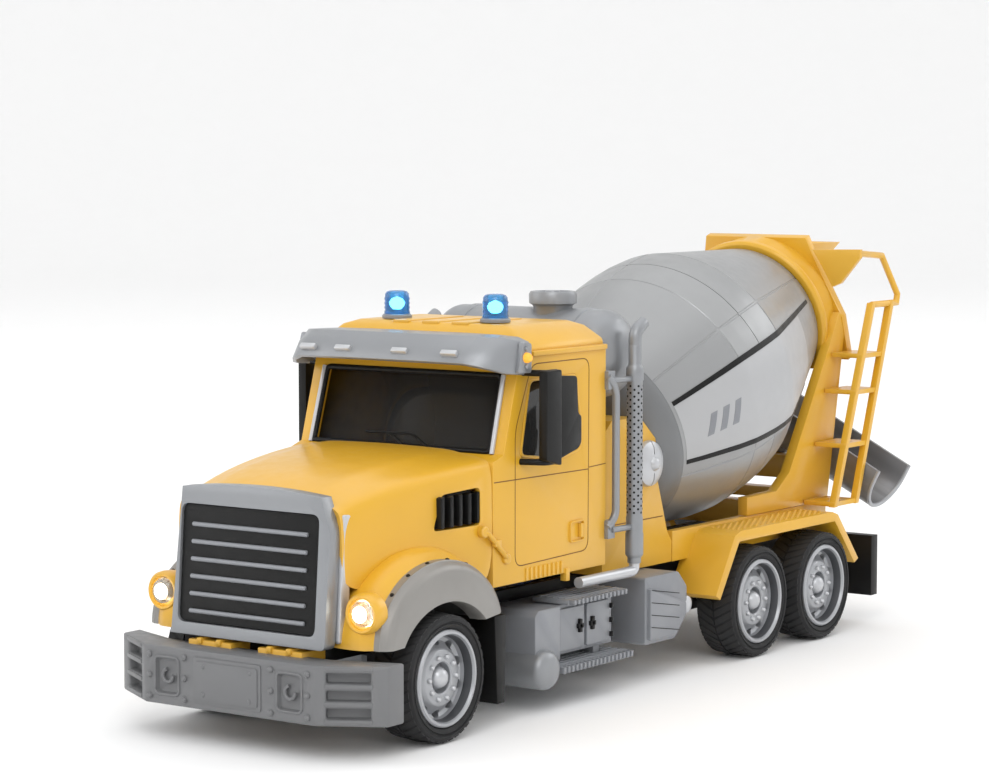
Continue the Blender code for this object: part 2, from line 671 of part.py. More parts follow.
def drum_pedestal():
    """The hollow front support that carries the drum's shaft, gear and motor."""
    side_view = [(-15.0, 38.4), (8.6, 38.4), (31.0, 38.4), (31.0, 46.0), (28.0, 50.0), (21.5, 69.0),
                 (20.5, 84.0), (9.5, 93.0), (-9.0, 93.0), (-15.0, 88.0)]
    body = prism(side_view, "X", -33.0, 33.0)
    bay = box((-30.5, -12.5, 30.0), (30.5, 16.0, 90.0))
    shaft_hole = turned([(0.0, -60.0), (3.0 + GAP, -60.0), (3.0 + GAP, 30.0), (0.0, 30.0)], DRUM, 16)
    covers = []
    for side in (1.0, -1.0):
        covers.append(turned([(0.0, 0.0), (7.6, 0.0), (7.6, 2.2), (3.0, 3.0), (0.0, 3.4)],
                             along((side * 32.6, 13.8, 76.0), (side, 0.0, 0.0)), 20))
    return combine("drum_pedestal", "yellow", [body] + covers, [bay, drum_room(0.8), shaft_hole])


def rear_fender_outline():
    outer = [(34.6, 26.6), (47.8, 47.2), (52.0, 48.6), (121.0, 48.6), (125.4, 47.2), (142.0, 28.2)]
    inner = [(139.0, 26.8), (123.0, 44.8), (51.0, 44.8), (37.6, 24.8)]
    return outer + inner


def rear_deck():
    """Two tandem fenders tied to side walls, with the middle open under the drum."""
    parts = []
    for side in (1.0, -1.0):
        low, high = sorted((side * 30.0, side * 50.0))
        parts.append(prism(rear_fender_outline(), "X", low, high))
        low, high = sorted((side * 29.4, side * 33.0))
        parts.append(box((low, 31.6, RAIL_TOP + GAP), (high, 146.0, 49.4)))
    cross = box((-31.0, 136.0, RAIL_TOP + GAP), (31.0, 145.8, 48.0))
    front_cross = box((-31.0, 31.8, RAIL_TOP + GAP), (31.0, 36.0, 43.0))
    return combine("rear_deck", "yellow", [cross, front_cross] + parts, [drum_room(0.8)])


def rear_frame():
    """Side legs, the bulkhead behind the drum's mouth, its collar and the chute's pivot tongue."""
    leg = [(84.0, 49.4 + GAP), (146.0, 49.4 + GAP), (156.0, 101.0), (160.0, 122.0), (154.0, 124.0),
           (147.0, 111.3), (116.0, 63.5), (106.0, 57.0), (84.0, 56.6)]
    legs = [prism(leg, "X", 29.6, 33.6), prism(leg, "X", -33.6, -29.6)]
    plate = [(-34.0, -21.0), (34.0, -21.0), (34.0, -3.0), (24.7, 24.0), (22.9, 30.5), (-22.9, 30.5), (-24.7, 24.0),
             (-34.0, -3.0)]
    bulkhead = prism(plate, "Z", 142.5, 146.0, DRUM)
    collar = turned([(28.3, 131.8), (30.8, 131.8), (30.8, 143.5), (28.3, 143.5)], DRUM, DRUM_STEPS)
    beam = box((-31.0, 140.0, 58.0), (31.0, 145.5, 67.0))
    base = box((-31.0, 139.0, 49.8), (31.0, 145.5, 54.0))
    tongue = box((-5.0, 144.0, 61.0), (5.0, 170.5, 65.0))
    pin = rod((0.0, CHUTE_Y, 64.0), (0.0, CHUTE_Y, 68.6), 2.0, 12)
    hole = turned([(0.0, 130.0), (28.5, 130.0), (28.5, 150.0), (0.0, 150.0)], DRUM, DRUM_STEPS)
    discharge = prism([(-28.9, -60.0), (28.9, -60.0), (28.9, -20.5), (-28.9, -20.5)], "Z", 120.0, 150.0, DRUM)
    frame_top = combine("frame_top", "yellow", [bulkhead, collar], [hole, discharge])
    return combine("rear_frame", "yellow", [frame_top] + legs + [beam, base, tongue, pin])


def hopper():
    """The charging funnel, wide at the top and narrow where it enters the drum's mouth."""
    outer = hull([(x, y, 151.0) for x in (-20.5, 20.5) for y in (154.5, 178.5)] +
                 [(x, 151.0, z) for x in (-11.0, 11.0) for z in (126.0, 138.0)])
    inner = hull([(x, y, 152.0) for x in (-19.0, 19.0) for y in (156.4, 177.5)] +
                 [(x, 149.5, z) for x in (-9.6, 9.6) for z in (126.8, 136.6)])
    return combine("hopper", "yellow", [outer], [inner])


STEP_HEIGHTS = (49.8, 72.0, 92.5, 106.5)


def ladder():
    """Rails, steps, the handrail loop and the wing that ties it to the bulkhead."""
    rails = []
    for low, high in (((126.0, 49.6), (155.5, 128.0)), ((143.0, 49.6), (171.0, 128.0))):
        rails.append(prism([(low[0], low[1]), (low[0] + 2.6, low[1]), (high[0] + 2.6, high[1]), (high[0], high[1])],
                           "X", 45.4, 48.0))
    steps = []
    for z in STEP_HEIGHTS:
        front = 126.0 + (z - 49.6) * 0.376
        steps.append(box((34.2, front + 0.3, z), (47.6, front + 18.0, z + 1.8)))
    loop = tube([(46.6, 146.0, 147.8), (46.6, 165.0, 146.4), (46.6, 178.6, 130.6), (46.6, 177.8, 127.2),
                 (46.6, 157.0, 127.2)], 1.3, 8)
    wing = prism([(26.8, 149.0), (48.0, 149.4), (48.0, 146.2), (39.5, 136.0), (35.8, 134.5), (30.8, 143.0)],
                 "Y", 144.4, 146.6)
    return combine("ladder", "yellow", [rails[0], rails[1]] + steps + [loop, wing])


# ---------------------------------------------------------------- running gear

TYRE_STEPS = 30
RIM_STEPS = 24
TYRE_PROFILE = ((16.0, 36.0), (19.3, 35.0), (21.0, 37.0), (21.0, 49.0), (19.3, 51.0), (16.0, 50.0))
RIM_PROFILE = ((1.8, 42.0), (5.2, 42.0), (6.0, 44.0), (13.8, 44.0), (14.0, 35.5), (15.7, 35.5), (15.7, 50.3),
               (14.1, 50.3), (13.2, 46.2), (5.6, 46.8), (1.8, 47.4))


def wheel(place, side, y):
    """A tyre whose flats touch the ground, and the rim inside it."""
    widen = 1.0 / math.cos(math.pi / TYRE_STEPS)
    direction = (1.0, 0.0, 0.0) if side == "left" else (-1.0, 0.0, 0.0)
    seat = along((0.0, y, AXLE_Z), direction, math.pi / TYRE_STEPS)
    tread = [(radius * widen if radius > 20.0 else radius, at) for radius, at in TYRE_PROFILE]
    combine("tyre_%s_%s" % (place, side), "rubber", [turned(tread, seat, TYRE_STEPS)])
    combine("rim_%s_%s" % (place, side), "silver", [turned(RIM_PROFILE, seat, RIM_STEPS)])


AXLE_TEETH = 30
AXLE_PINION_TEETH = 10
AXLE_MODULE = 0.5
AXLE_CENTRES = (AXLE_TEETH + AXLE_PINION_TEETH) * AXLE_MODULE / 2.0 + 0.15


def rear_axles():
    """Steel shafts; the middle one carries the drive gear beside the motor."""
    reach = 46.0
    combine("axle_rear", "steel", [rod((-reach, REAR_Y, AXLE_Z), (reach, REAR_Y, AXLE_Z), 1.5, 16)])
    combine("axle_mid", "steel", [rod((-reach, MID_Y, AXLE_Z), (reach, MID_Y, AXLE_Z), 1.5, 16)])
    towards = math.radians(135.0)
    teeth = gear_outline(AXLE_TEETH, AXLE_MODULE, towards)
    placed = [(MID_Y + a, AXLE_Z + b) for a, b in teeth]
    bore = rod((-5.0, MID_Y, AXLE_Z), (5.0, MID_Y, AXLE_Z), 1.5 + GAP, 16)
    combine("axle_gear", "white", [prism(placed, "X", -GEAR_THICK / 2, GEAR_THICK / 2)], [bore])
    y = MID_Y + AXLE_CENTRES * math.cos(towards)
    z = AXLE_Z + AXLE_CENTRES * math.sin(towards)
    facing = towards + math.pi + math.pi / AXLE_PINION_TEETH
    small = [(y + a, z + b) for a, b in gear_outline(AXLE_PINION_TEETH, AXLE_MODULE, facing)]
    combine("motor_pinion", "white", [prism(small, "X", -GEAR_THICK / 2, GEAR_THICK / 2)])
    combine("drive_motor", "steel", [rod((2.4, y, z), (18.4, y, z), 6.0, 16)])


def knuckle(name):
    """King-pin post, stub axle and steering arm with its tie-rod pin."""
    post = box((KINGPIN_X - 2.2, FRONT_Y - 2.6, 13.0), (KINGPIN_X + 2.2, FRONT_Y + 2.6, 29.0))
    pins = rod((KINGPIN_X, FRONT_Y, 10.0), (KINGPIN_X, FRONT_Y, 32.0), 1.3, 12)
    stub = rod((KINGPIN_X, FRONT_Y, AXLE_Z), (48.5, FRONT_Y, AXLE_Z), 1.5, 12)
    arm_plan = [(37.0, FRONT_Y - 2.0), (37.0, FRONT_Y + 2.4), (33.2, FRONT_Y + 5.0), (33.2, FRONT_Y + 14.2),
                (28.9, FRONT_Y + 14.2), (28.9, FRONT_Y + 3.0), (31.0, FRONT_Y - 2.0)]
    arm = prism(arm_plan, "Z", 19.4, 22.4)
    pin = rod((TIE_PIN_X, FRONT_Y + STEER_LEVER, 21.0), (TIE_PIN_X, FRONT_Y + STEER_LEVER, 26.2), 1.0, 10)
    return combine(name, "black", [post, pins, stub, arm, pin])


def tie_rod():
    """A bar with a slotted pad at each end, where the steering arms' pins slide."""
    y = FRONT_Y + STEER_LEVER
    bar = box((-30.0, y - 2.4, 23.0), (30.0, y + 1.6, 25.4))
    pads = [box((x - 2.5, y - 4.3, 22.9), (x + 2.5, y + 4.0, 25.5)) for x in (-TIE_PIN_X, TIE_PIN_X)]
    slots = [box((x - 1.35, y - 3.1, 20.0), (x + 1.35, y + 2.8, 28.0)) for x in (-TIE_PIN_X, TIE_PIN_X)]
    return combine("tie_rod", "black", [bar] + pads, slots)


def chute():
    """A U-shaped trough that slopes down from a boss on the pivot pin."""
    inner_r, outer_r = 12.0, 13.5
    rim = 4.5
    outline = [(-outer_r, rim)] + arc((0.0, 0.0), (outer_r, outer_r), 180.0, 360.0, 12) + [(outer_r, rim)]
    outline += [(inner_r, rim)] + arc((0.0, 0.0), (inner_r, inner_r), 360.0, 180.0, 12) + [(-inner_r, rim)]
    slope = Matrix.Rotation(CHUTE_SLOPE, 4, "Y")
    seat = Matrix.Translation((0.0, CHUTE_Y, CHUTE_TOP)) @ slope
    turn = Matrix(((0.0, 0.0, 1.0, 0.0), (1.0, 0.0, 0.0, 0.0), (0.0, 1.0, 0.0, 0.0), (0.0, 0.0, 0.0, 1.0)))
    trough = prism(outline, "Z", -2.0, 58.0, seat @ turn)
    trim_in = box((-30.0, CHUTE_Y - 20.0, 60.0), (-0.5, CHUTE_Y + 20.0, 110.0))
    boss = rod((0.0, CHUTE_Y, 65.4), (0.0, CHUTE_Y, 71.6), 4.6, 14)
    socket = rod((0.0, CHUTE_Y, 60.0), (0.0, CHUTE_Y, 69.2), 2.0 + GAP, 12)
    return combine("chute", "grey", [trough, boss], [trim_in, socket])


# ---------------------------------------------------------------- build

def build():
    chassis_frame()
    front_bumper()
    battery_and_electrics()
    hood_shell()
    both_sides("fender_flare", fender_flare)
    arch_liner()
    cab_shell()
    cab_glazing()
    cab_roof()
    cab_interior()
    grille()
    both_sides("headlight", headlight)
    sun_visor()
    both_sides("beacon", beacon)
    both_sides("mirror", mirror)
    both_sides("exhaust_stack", exhaust_stack)
    water_tank()
    both_sides("running_board", running_board)
    drum_pedestal()
    drum_front_shell()
    drum_rear_shell()
    drum_gears()
    rear_deck()
    rear_frame()
    hopper()
    ladder()
    for place, y in (("front", FRONT_Y), ("mid", MID_Y), ("rear", REAR_Y)):
        for side in ("left", "right"):
            wheel(place, side, y)
    rear_axles()
    both_sides("knuckle", knuckle)
    tie_rod()
    chute()


build()
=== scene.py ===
import json
import math

import bmesh
import bpy
from mathutils import Matrix, Vector


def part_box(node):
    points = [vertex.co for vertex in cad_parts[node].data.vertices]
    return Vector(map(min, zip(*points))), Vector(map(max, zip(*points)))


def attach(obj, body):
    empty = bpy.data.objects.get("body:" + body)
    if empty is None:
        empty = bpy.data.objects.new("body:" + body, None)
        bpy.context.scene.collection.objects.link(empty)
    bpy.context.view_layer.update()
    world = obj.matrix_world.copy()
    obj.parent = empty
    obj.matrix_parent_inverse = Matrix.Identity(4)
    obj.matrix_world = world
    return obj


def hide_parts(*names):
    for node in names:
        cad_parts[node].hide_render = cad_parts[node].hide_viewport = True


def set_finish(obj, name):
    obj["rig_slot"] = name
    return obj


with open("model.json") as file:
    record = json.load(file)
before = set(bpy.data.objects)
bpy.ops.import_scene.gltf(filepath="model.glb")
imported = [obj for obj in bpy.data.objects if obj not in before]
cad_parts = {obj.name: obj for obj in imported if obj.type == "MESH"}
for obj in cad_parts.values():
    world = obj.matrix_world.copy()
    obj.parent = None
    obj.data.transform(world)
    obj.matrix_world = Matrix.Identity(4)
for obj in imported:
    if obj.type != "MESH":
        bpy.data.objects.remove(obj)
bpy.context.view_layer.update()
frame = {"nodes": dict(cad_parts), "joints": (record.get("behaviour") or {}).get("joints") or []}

MM = 0.001
SIDES = (1, -1)
FORWARD = (0, -1, 0)
OUTWARD = (1, 0, 0)
UP = (0, 0, 1)


def side_name(side):
    return "left" if side > 0 else "right"


def span(side, inner, outer):
    """An X range on one side of the truck, low end first."""
    return sorted((side * inner, side * outer))


# ---------------------------------------------------------------- places taken from the frame

JOINTS = {joint["name"]: joint for joint in frame["joints"]}


def low_corner(node):
    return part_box(node)[0] / MM


def high_corner(node):
    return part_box(node)[1] / MM


def middle(node):
    return (low_corner(node) + high_corner(node)) / 2


WHEEL_R = (high_corner("tyre_front_left").z - low_corner("tyre_front_left").z) / 2
FRONT_Y = middle("tyre_front_left").y
MID_Y = middle("tyre_mid_left").y
REAR_Y = middle("tyre_rear_left").y
BUMPER_FRONT = low_corner("front_bumper").y
BUMPER_HALF = high_corner("front_bumper").x
HOOD_FRONT = low_corner("hood_shell").y
CAB_HALF = high_corner("cab_shell").x
CAB_BACK = high_corner("cab_shell").y
COWL_Y = low_corner("cab_shell").y
ROOF_SEAM = high_corner("cab_shell").z
ROOF_TOP = high_corner("cab_roof").z
DRUM_ORIGIN = Vector(JOINTS["drum_spin"]["pos_m"]) / MM
DRUM_AXIS = Vector(JOINTS["drum_spin"]["axis"]).normalized()
DECK_TOP = 48.6


def drum_frame():
    """Local Z runs along the drum, local Y points up across it and local X to the truck's right."""
    across = Vector((0, -DRUM_AXIS.z, DRUM_AXIS.y))
    right = across.cross(DRUM_AXIS)
    turn = Matrix((right, across, DRUM_AXIS)).transposed().to_4x4()
    return Matrix.Translation(DRUM_ORIGIN) @ turn


DRUM = drum_frame()


# ---------------------------------------------------------------- materials

def nodes_of(material):
    tree = material.node_tree
    return tree.nodes, tree.links, tree.nodes["Principled BSDF"]


def mapped(nodes, **ends):
    """A map-range node with its ends set."""
    remap = nodes.new("ShaderNodeMapRange")
    for end, value in ends.items():
        remap.inputs[end.replace("_", " ").title()].default_value = value
    return remap


def ranged_noise(material, scale, low, high, detail=3):
    """Object-space noise mapped to a range, so that it moves with its piece."""
    nodes, links, _ = nodes_of(material)
    place = nodes.new("ShaderNodeTexCoord")
    noise = nodes.new("ShaderNodeTexNoise")
    noise.inputs["Scale"].default_value = scale
    noise.inputs["Detail"].default_value = detail
    links.new(place.outputs["Object"], noise.inputs["Vector"])
    remap = mapped(nodes, from_min=0.3, from_max=0.7, to_min=low, to_max=high)
    links.new(noise.outputs["Fac"], remap.inputs["Value"])
    return noise, remap


def finish(name, colour, roughness, metallic=0, coat=0, vary=0.05, grain=1500, bump=0.05,
           edge_highlight=0.12, shine=0.5):
    """A moulded or painted surface: drifting tone, uneven gloss, fine grain and a painted highlight on sharp
    edges.
    """
    material = bpy.data.materials.new(name)
    material.use_nodes = True
    nodes, links, shader = nodes_of(material)
    shader.inputs["Metallic"].default_value = metallic
    shader.inputs["Coat Weight"].default_value = coat
    shader.inputs["Specular IOR Level"].default_value = shine
    shader.inputs["Coat Roughness"].default_value = 0.15
    _, tone = ranged_noise(material, 35, 1 - vary, 1 + vary)
    tint = nodes.new("ShaderNodeVectorMath")
    tint.operation = "SCALE"
    tint.inputs[0].default_value = colour
    links.new(tone.outputs["Result"], tint.inputs["Scale"])
    # Painted highlight: sharp edges, found by their pointiness, are mixed towards a paler colour.
    edges = nodes.new("ShaderNodeNewGeometry")
    edge_highlight_mask = mapped(nodes, from_min=0.52, from_max=0.62, to_max=edge_highlight)
    links.new(edges.outputs["Pointiness"], edge_highlight_mask.inputs["Value"])
    mix = nodes.new("ShaderNodeMix")
    mix.data_type = "RGBA"
    factor, first_colour, edge_highlight_colour = mix.inputs[0], mix.inputs[6], mix.inputs[7]
    edge_highlight_colour.default_value = (*[min(1, 0.35 + c * 0.8) for c in colour], 1)
    links.new(edge_highlight_mask.outputs["Result"], factor)
    links.new(tint.outputs["Vector"], first_colour)
    links.new(mix.outputs[2], shader.inputs["Base Color"])
    _, gloss = ranged_noise(material, 260, roughness - 0.05, roughness + 0.05)
    links.new(gloss.outputs["Result"], shader.inputs["Roughness"])
    fine, _ = ranged_noise(material, grain, 0, 1, 2)
    relief = nodes.new("ShaderNodeBump")
    relief.inputs["Strength"].default_value = bump
    relief.inputs["Distance"].default_value = 0.0002
    links.new(fine.outputs["Fac"], relief.inputs["Height"])
    links.new(relief.outputs["Normal"], shader.inputs["Normal"])
    return material


def see_through(name, colour, roughness, through):
    """Clear or tinted plastic with a slightly uneven surface."""
    material = finish(name, colour, roughness, coat=0.6, vary=0.03, grain=500, bump=0.02, edge_highlight=0)
    _, _, shader = nodes_of(material)
    shader.inputs["Transmission Weight"].default_value = through
    shader.inputs["IOR"].default_value = 1.45
    return material


def glowing(name, colour, strength):
    material = finish(name, colour, 0.2, edge_highlight=0)
    _, _, shader = nodes_of(material)
    shader.inputs["Emission Color"].default_value = (*colour, 1)
    shader.inputs["Emission Strength"].default_value = strength
    return material


# Each row is a look, its slot, and then the material's name and values.
PAINTED = {"bump": 0, "edge_highlight": 0}
MOULDED = (
    ("yellow", "yellow_plastic", "yellow_plastic", (0.72, 0.395, 0.024), 0.34, {"coat": 0.15, "vary": 0.03}),
    ("silver", "silver_paint", "silver_paint", (0.29, 0.30, 0.315), 0.36,
     {"metallic": 0.45, "vary": 0.02, **PAINTED}),
    ("step_grey", "silver_paint", "step_grey", (0.24, 0.25, 0.27), 0.42, {"metallic": 0.25, "vary": 0.03}),
    ("flare_grey", "silver_paint", "flare_grey", (0.27, 0.26, 0.245), 0.40, {"metallic": 0.35}),
    ("bright", "silver_paint", "bright_silver", (0.55, 0.56, 0.58), 0.34,
     {"metallic": 0.5, "vary": 0, **PAINTED}),
    ("rim", "rim_silver", "rim_silver", (0.40, 0.41, 0.43), 0.36,
     {"metallic": 0.45, "vary": 0.02, **PAINTED}),
    ("drum", "drum_paint", "drum_paint", (0.33, 0.335, 0.34), 0.36,
     {"metallic": 0.5, "vary": 0.01, **PAINTED}),
    ("drum_dome", "drum_paint", "drum_dome", (0.19, 0.195, 0.20), 0.42,
     {"metallic": 0.35, "vary": 0.01, **PAINTED}),
    ("drum_light", "drum_paint", "drum_light", (0.44, 0.445, 0.455), 0.42,
     {"metallic": 0.3, "vary": 0.01, **PAINTED}),
    ("bumper", "bumper_grey", "bumper_grey", (0.165, 0.167, 0.172), 0.45,
     {"metallic": 0.1, "vary": 0.03, "edge_highlight": 0}),
    ("chute", "bumper_grey", "chute_grey", (0.17, 0.17, 0.175), 0.35, {"metallic": 0.3}),
    ("black", "black_plastic", "black_plastic", (0.007, 0.007, 0.007), 0.42, {"edge_highlight": 0, "shine": 0.25}),
    ("seam", "yellow_plastic", "seam_shadow", (0.20, 0.085, 0.008), 0.6, {"edge_highlight": 0}),
    # A dark copy of the rim silver for the channel's wall: painted shade in the recess.
    ("rim_channel_shade", "rim_silver", "rim_channel", (0.07, 0.073, 0.08), 0.4,
     {"metallic": 0.4, "vary": 0.02, "bump": 0}),
    ("tyre", "tyre_rubber", "tyre_rubber", (0.016, 0.016, 0.017), 0.66,
     {"grain": 2600, "bump": 0.1, "edge_highlight": 0.04, "shine": 0.3}),
    ("steel", "steel", "steel", (0.60, 0.60, 0.61), 0.28, {"metallic": 1}),
    ("nylon", "gear_nylon", "gear_nylon", (0.72, 0.72, 0.68), 0.45, {}),
    ("green", "board_green", "board_green", (0.02, 0.16, 0.06), 0.35, {}),
    ("wrap", "battery_wrap", "battery_wrap", (0.02, 0.08, 0.30), 0.25, {}),
)
CLEAR = (
    ("glass", "tinted_glass", "tinted_glass", (0.040, 0.040, 0.040), 0.05, 0.15),
    ("beacon", "beacon_lens", "beacon_lens", (0.008, 0.16, 0.40), 0.08, 0.6),
    ("lens", "lamp_lens", "lamp_lens", (0.95, 0.92, 0.85), 0.05, 0.9),
)
GLOWING = (
    ("beacon_glow", "beacon_lens", "beacon_glow", (0.75, 0.92, 1), 12),
    ("lamp_glow", "lamp_lens", "lamp_glow", (1, 0.95, 0.82), 4.5),
    # The amber markers get a faint painted glow that brightens their colour.
    ("amber", "lamp_lens", "amber_lens", (0.95, 0.42, 0.04), 0.4),
)
FINISHES = {look: (finish(*values, **extra), slot) for look, slot, *values, extra in MOULDED}
FINISHES.update({look: (see_through(*values), slot) for look, slot, *values in CLEAR})
FINISHES.update({look: (glowing(*values), slot) for look, slot, *values in GLOWING})


# ---------------------------------------------------------------- shape helpers
# Each adds one closed body to a bmesh, in millimetres.

def place_new(bm, before, placement):
    if placement is not None:
        bmesh.ops.transform(bm, matrix=placement, verts=bm.verts[before:])


def join_rows(bm, rows):
    """Faces between neighbouring rows of an open grid."""
    for a, b in zip(rows, rows[1:]):
        for k in range(len(a) - 1):
            bm.faces.new((a[k], b[k], b[k + 1], a[k + 1]))


def join_rings(bm, rings, caps=False):
    """Faces between neighbouring rings of vertices. A ring of one vertex is a pole."""
    for a, b in zip(rings, rings[1:]):
        count = max(len(a), len(b))
        for k in range(count):
            n = (k + 1) % count
            corners = (a[k % len(a)], a[n % len(a)], b[n % len(b)], b[k % len(b)])
            bm.faces.new(list(dict.fromkeys(corners)))
    if caps:
        bm.faces.new(rings[0])
        bm.faces.new(list(reversed(rings[-1])))


def add_prism(bm, outline, axis, low, high, placement=None):
    """A flat outline pushed along an axis. The outline is (y, z), (x, z) or (x, y)."""
    spots = {
        "X": lambda p, h: (h, p[0], p[1]),
        "Y": lambda p, h: (p[0], h, p[1]),
        "Z": lambda p, h: (p[0], p[1], h),
    }[axis]
    before = len(bm.verts)
    ends = [[bm.verts.new(spots(p, h)) for p in outline] for h in (low, high)]
    bm.faces.new(ends[0])
    bm.faces.new(list(reversed(ends[1])))
    count = len(outline)
    for i in range(count):
        j = (i + 1) % count
        bm.faces.new((ends[0][i], ends[1][i], ends[1][j], ends[0][j]))
    bm.verts.ensure_lookup_table()
    place_new(bm, before, placement)


def add_box(bm, low, high, placement=None):
    add_prism(bm, rectangle(low, high), "Z", low[2], high[2], placement)


def made(add, *values):
    """A new bmesh with one body in it."""
    bm = bmesh.new()
    add(bm, *values)
    return bm


def add_hull(bm, points):
    fresh = [bm.verts.new(p) for p in points]
    hull = bmesh.ops.convex_hull(bm, input=fresh)
    spare = [v for v in hull["geom_interior"] if isinstance(v, bmesh.types.BMVert)]
    bmesh.ops.delete(bm, geom=spare, context="VERTS")
    bm.verts.ensure_lookup_table()


def add_turned(bm, profile, placement, steps=64):
    """A (radius, height) profile turned about local Z. Radius 0 meets the axis."""
    before = len(bm.verts)
    rings = []
    for radius, height in profile:
        count = 1 if radius == 0 else steps
        turn = 2 * math.pi / steps
        rings.append([bm.verts.new((radius * math.cos(turn * k), radius * math.sin(turn * k), height))
                      for k in range(count)])
    hollow = all(len(ring) > 1 for ring in rings)
    join_rings(bm, rings + rings[:1] if hollow else rings)
    bm.verts.ensure_lookup_table()
    place_new(bm, before, placement)


def along(origin, direction):
    """A placement with local Z along a direction, from an origin."""
    turn = Vector(direction).to_track_quat("Z", "Y").to_matrix().to_4x4()
    return Matrix.Translation(Vector(origin)) @ turn


def add_rod(bm, start, end, radius, steps=24, soft=0):
    """A round bar between two points, with softened ends."""
    line = Vector(end) - Vector(start)
    length = line.length
    profile = [(0, 0), (radius, 0), (radius, length), (0, length)]
    if soft > 0:
        profile = [(0, 0), (radius - soft, 0), (radius, soft), (radius, length - soft),
                   (radius - soft, length), (0, length)]
    add_turned(bm, profile, along(start, line), steps)


def turn_corner(before, corner, after, radius, share, steps):
    """Points that round one corner, using at most a share of either leg."""
    reach = min(radius, (before - corner).length * share, (after - corner).length * share)
    start = corner + (before - corner).normalized() * reach
    end = corner + (after - corner).normalized() * reach
    ticks = [k / steps for k in range(steps + 1)]
    return [start * (1 - t) ** 2 + corner * 2 * t * (1 - t) + end * t ** 2 for t in ticks]


def smooth_path(points, bend, steps=6):
    """A path with each inner corner rounded."""
    spots = [Vector(p) for p in points]
    path = [spots[0]]
    for before, corner, after in zip(spots, spots[1:], spots[2:]):
        path += turn_corner(before, corner, after, bend, 0.49, steps)
    path.append(spots[-1])
    return path


def add_tube(bm, points, radius, steps=16, bend=3):
    """A round bar along a path with rounded corners."""
    spots = smooth_path(points, bend)
    rings = []
    side = Vector((1, 0, 0))
    for i, spot in enumerate(spots):
        ahead = spots[min(i + 1, len(spots) - 1)]
        behind = spots[max(i - 1, 0)]
        travel = (ahead - behind).normalized()
        if abs(travel.dot(side)) > 0.9:
            side = Vector((0, 0, 1))
        side = (side - travel * side.dot(travel)).normalized()
        other = travel.cross(side)
        ring = []
        for k in range(steps):
            angle = 2 * math.pi * k / steps
            ring.append(bm.verts.new(spot + (side * math.cos(angle) + other * math.sin(angle)) * radius))
        rings.append(ring)
    join_rings(bm, rings, caps=True)
    bm.verts.ensure_lookup_table()


def arc(centre, radii, start, end, steps):
    """Points on an ellipse, angles in degrees."""
    points = []
    for i in range(steps + 1):
        angle = math.radians(start + (end - start) * i / steps)
        points.append((centre[0] + radii[0] * math.cos(angle), centre[1] + radii[1] * math.sin(angle)))
    return points


def rounded(corners, radius, steps=5):
    """A flat outline with each corner rounded."""
    count = len(corners)
    outline = []
    for i in range(count):
        legs = [Vector(corners[(i + k) % count]) for k in (-1, 0, 1)]
        outline += [tuple(p) for p in turn_corner(*legs, radius, 0.45, steps)]
    return outline


def rectangle(low, high):
    return [(low[0], low[1]), (high[0], low[1]), (high[0], high[1]), (low[0], high[1])]


def linked(name, data):
    """A new object in the scene."""
    obj = bpy.data.objects.new(name, data)
    bpy.context.scene.collection.objects.link(obj)
    return obj


def mesh_object(name, bm):
    mesh = bpy.data.meshes.new(name)
    bm.to_mesh(mesh)
    bm.free()
    return linked(name, mesh)


def raw_object(name, bm):
    """An object from a bmesh in millimetres, with its faces turned outwards."""
    bmesh.ops.recalc_face_normals(bm, faces=bm.faces)
    bm.transform(Matrix.Scale(MM, 4))
    return mesh_object(name, bm)


def apply_modifiers(obj):
    graph = bpy.context.evaluated_depsgraph_get()
    mesh = bpy.data.meshes.new_from_object(obj.evaluated_get(graph))
    obj.modifiers.clear()
    obj.data = mesh


def cut_away(obj, bm):
    """Takes a bmesh's bodies out of an object."""
    cutter = raw_object("cutter", bm)
    modifier = obj.modifiers.new("cut", "BOOLEAN")
    modifier.operation = "DIFFERENCE"
    modifier.solver = "EXACT"
    modifier.object = cutter
    apply_modifiers(obj)
    bpy.data.objects.remove(cutter, do_unlink=True)


def soften(obj, width, segments=2, angle=32):
    """Rounds the edges of an object that are sharper than an angle."""
    bevel = obj.modifiers.new("soft edges", "BEVEL")
    bevel.width = width * MM
    bevel.segments = segments
    bevel.limit_method = "ANGLE"
    bevel.angle_limit = math.radians(angle)


def thicken(obj, thickness):
    """Makes a skin into a wall, on its inner side."""
    wall = obj.modifiers.new("thickness", "SOLIDIFY")
    wall.thickness = thickness * MM
    wall.offset = -1


def smooth(obj, angle=38):
    obj.data.shade_smooth()
    obj.data.set_sharp_from_angle(angle=math.radians(angle))


def finished(obj, look, body="chassis", replaces=(), angle=38):
    """Gives an object its look, its body and the CAD nodes that it stands for."""
    material, slot = FINISHES[look]
    obj.data.materials.clear()
    obj.data.materials.append(material)
    smooth(obj, angle)
    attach(obj, body)
    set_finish(obj, slot)
    if replaces:
        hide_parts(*replaces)
    return obj


def piece(name, bm, look, body="chassis", replaces=(), bevel=0, cuts=(), segments=2):
    """A finished piece of the truck from a bmesh."""
    obj = raw_object(name, bm)
    for cut in cuts:
        cut_away(obj, cut)
    if bevel > 0:
        soften(obj, bevel, segments)
        apply_modifiers(obj)
    return finished(obj, look, body, replaces)


def copy_of(obj, name, placement, body, replaces=()):
    """The same mesh again, moved in millimetres."""
    bm = bmesh.new()
    bm.from_mesh(obj.data)
    metres = placement.copy()
    metres.translation = placement.translation * MM
    bm.transform(metres)
    if metres.determinant() < 0:
        bmesh.ops.reverse_faces(bm, faces=bm.faces)
    twin = mesh_object(name, bm)
    for material in obj.data.materials:
        twin.data.materials.append(material)
    smooth(twin)
    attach(twin, body)
    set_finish(twin, obj["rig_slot"])
    if replaces:
        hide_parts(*replaces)
    return twin


MIRROR = Matrix.Scale(-1, 4, (1, 0, 0))


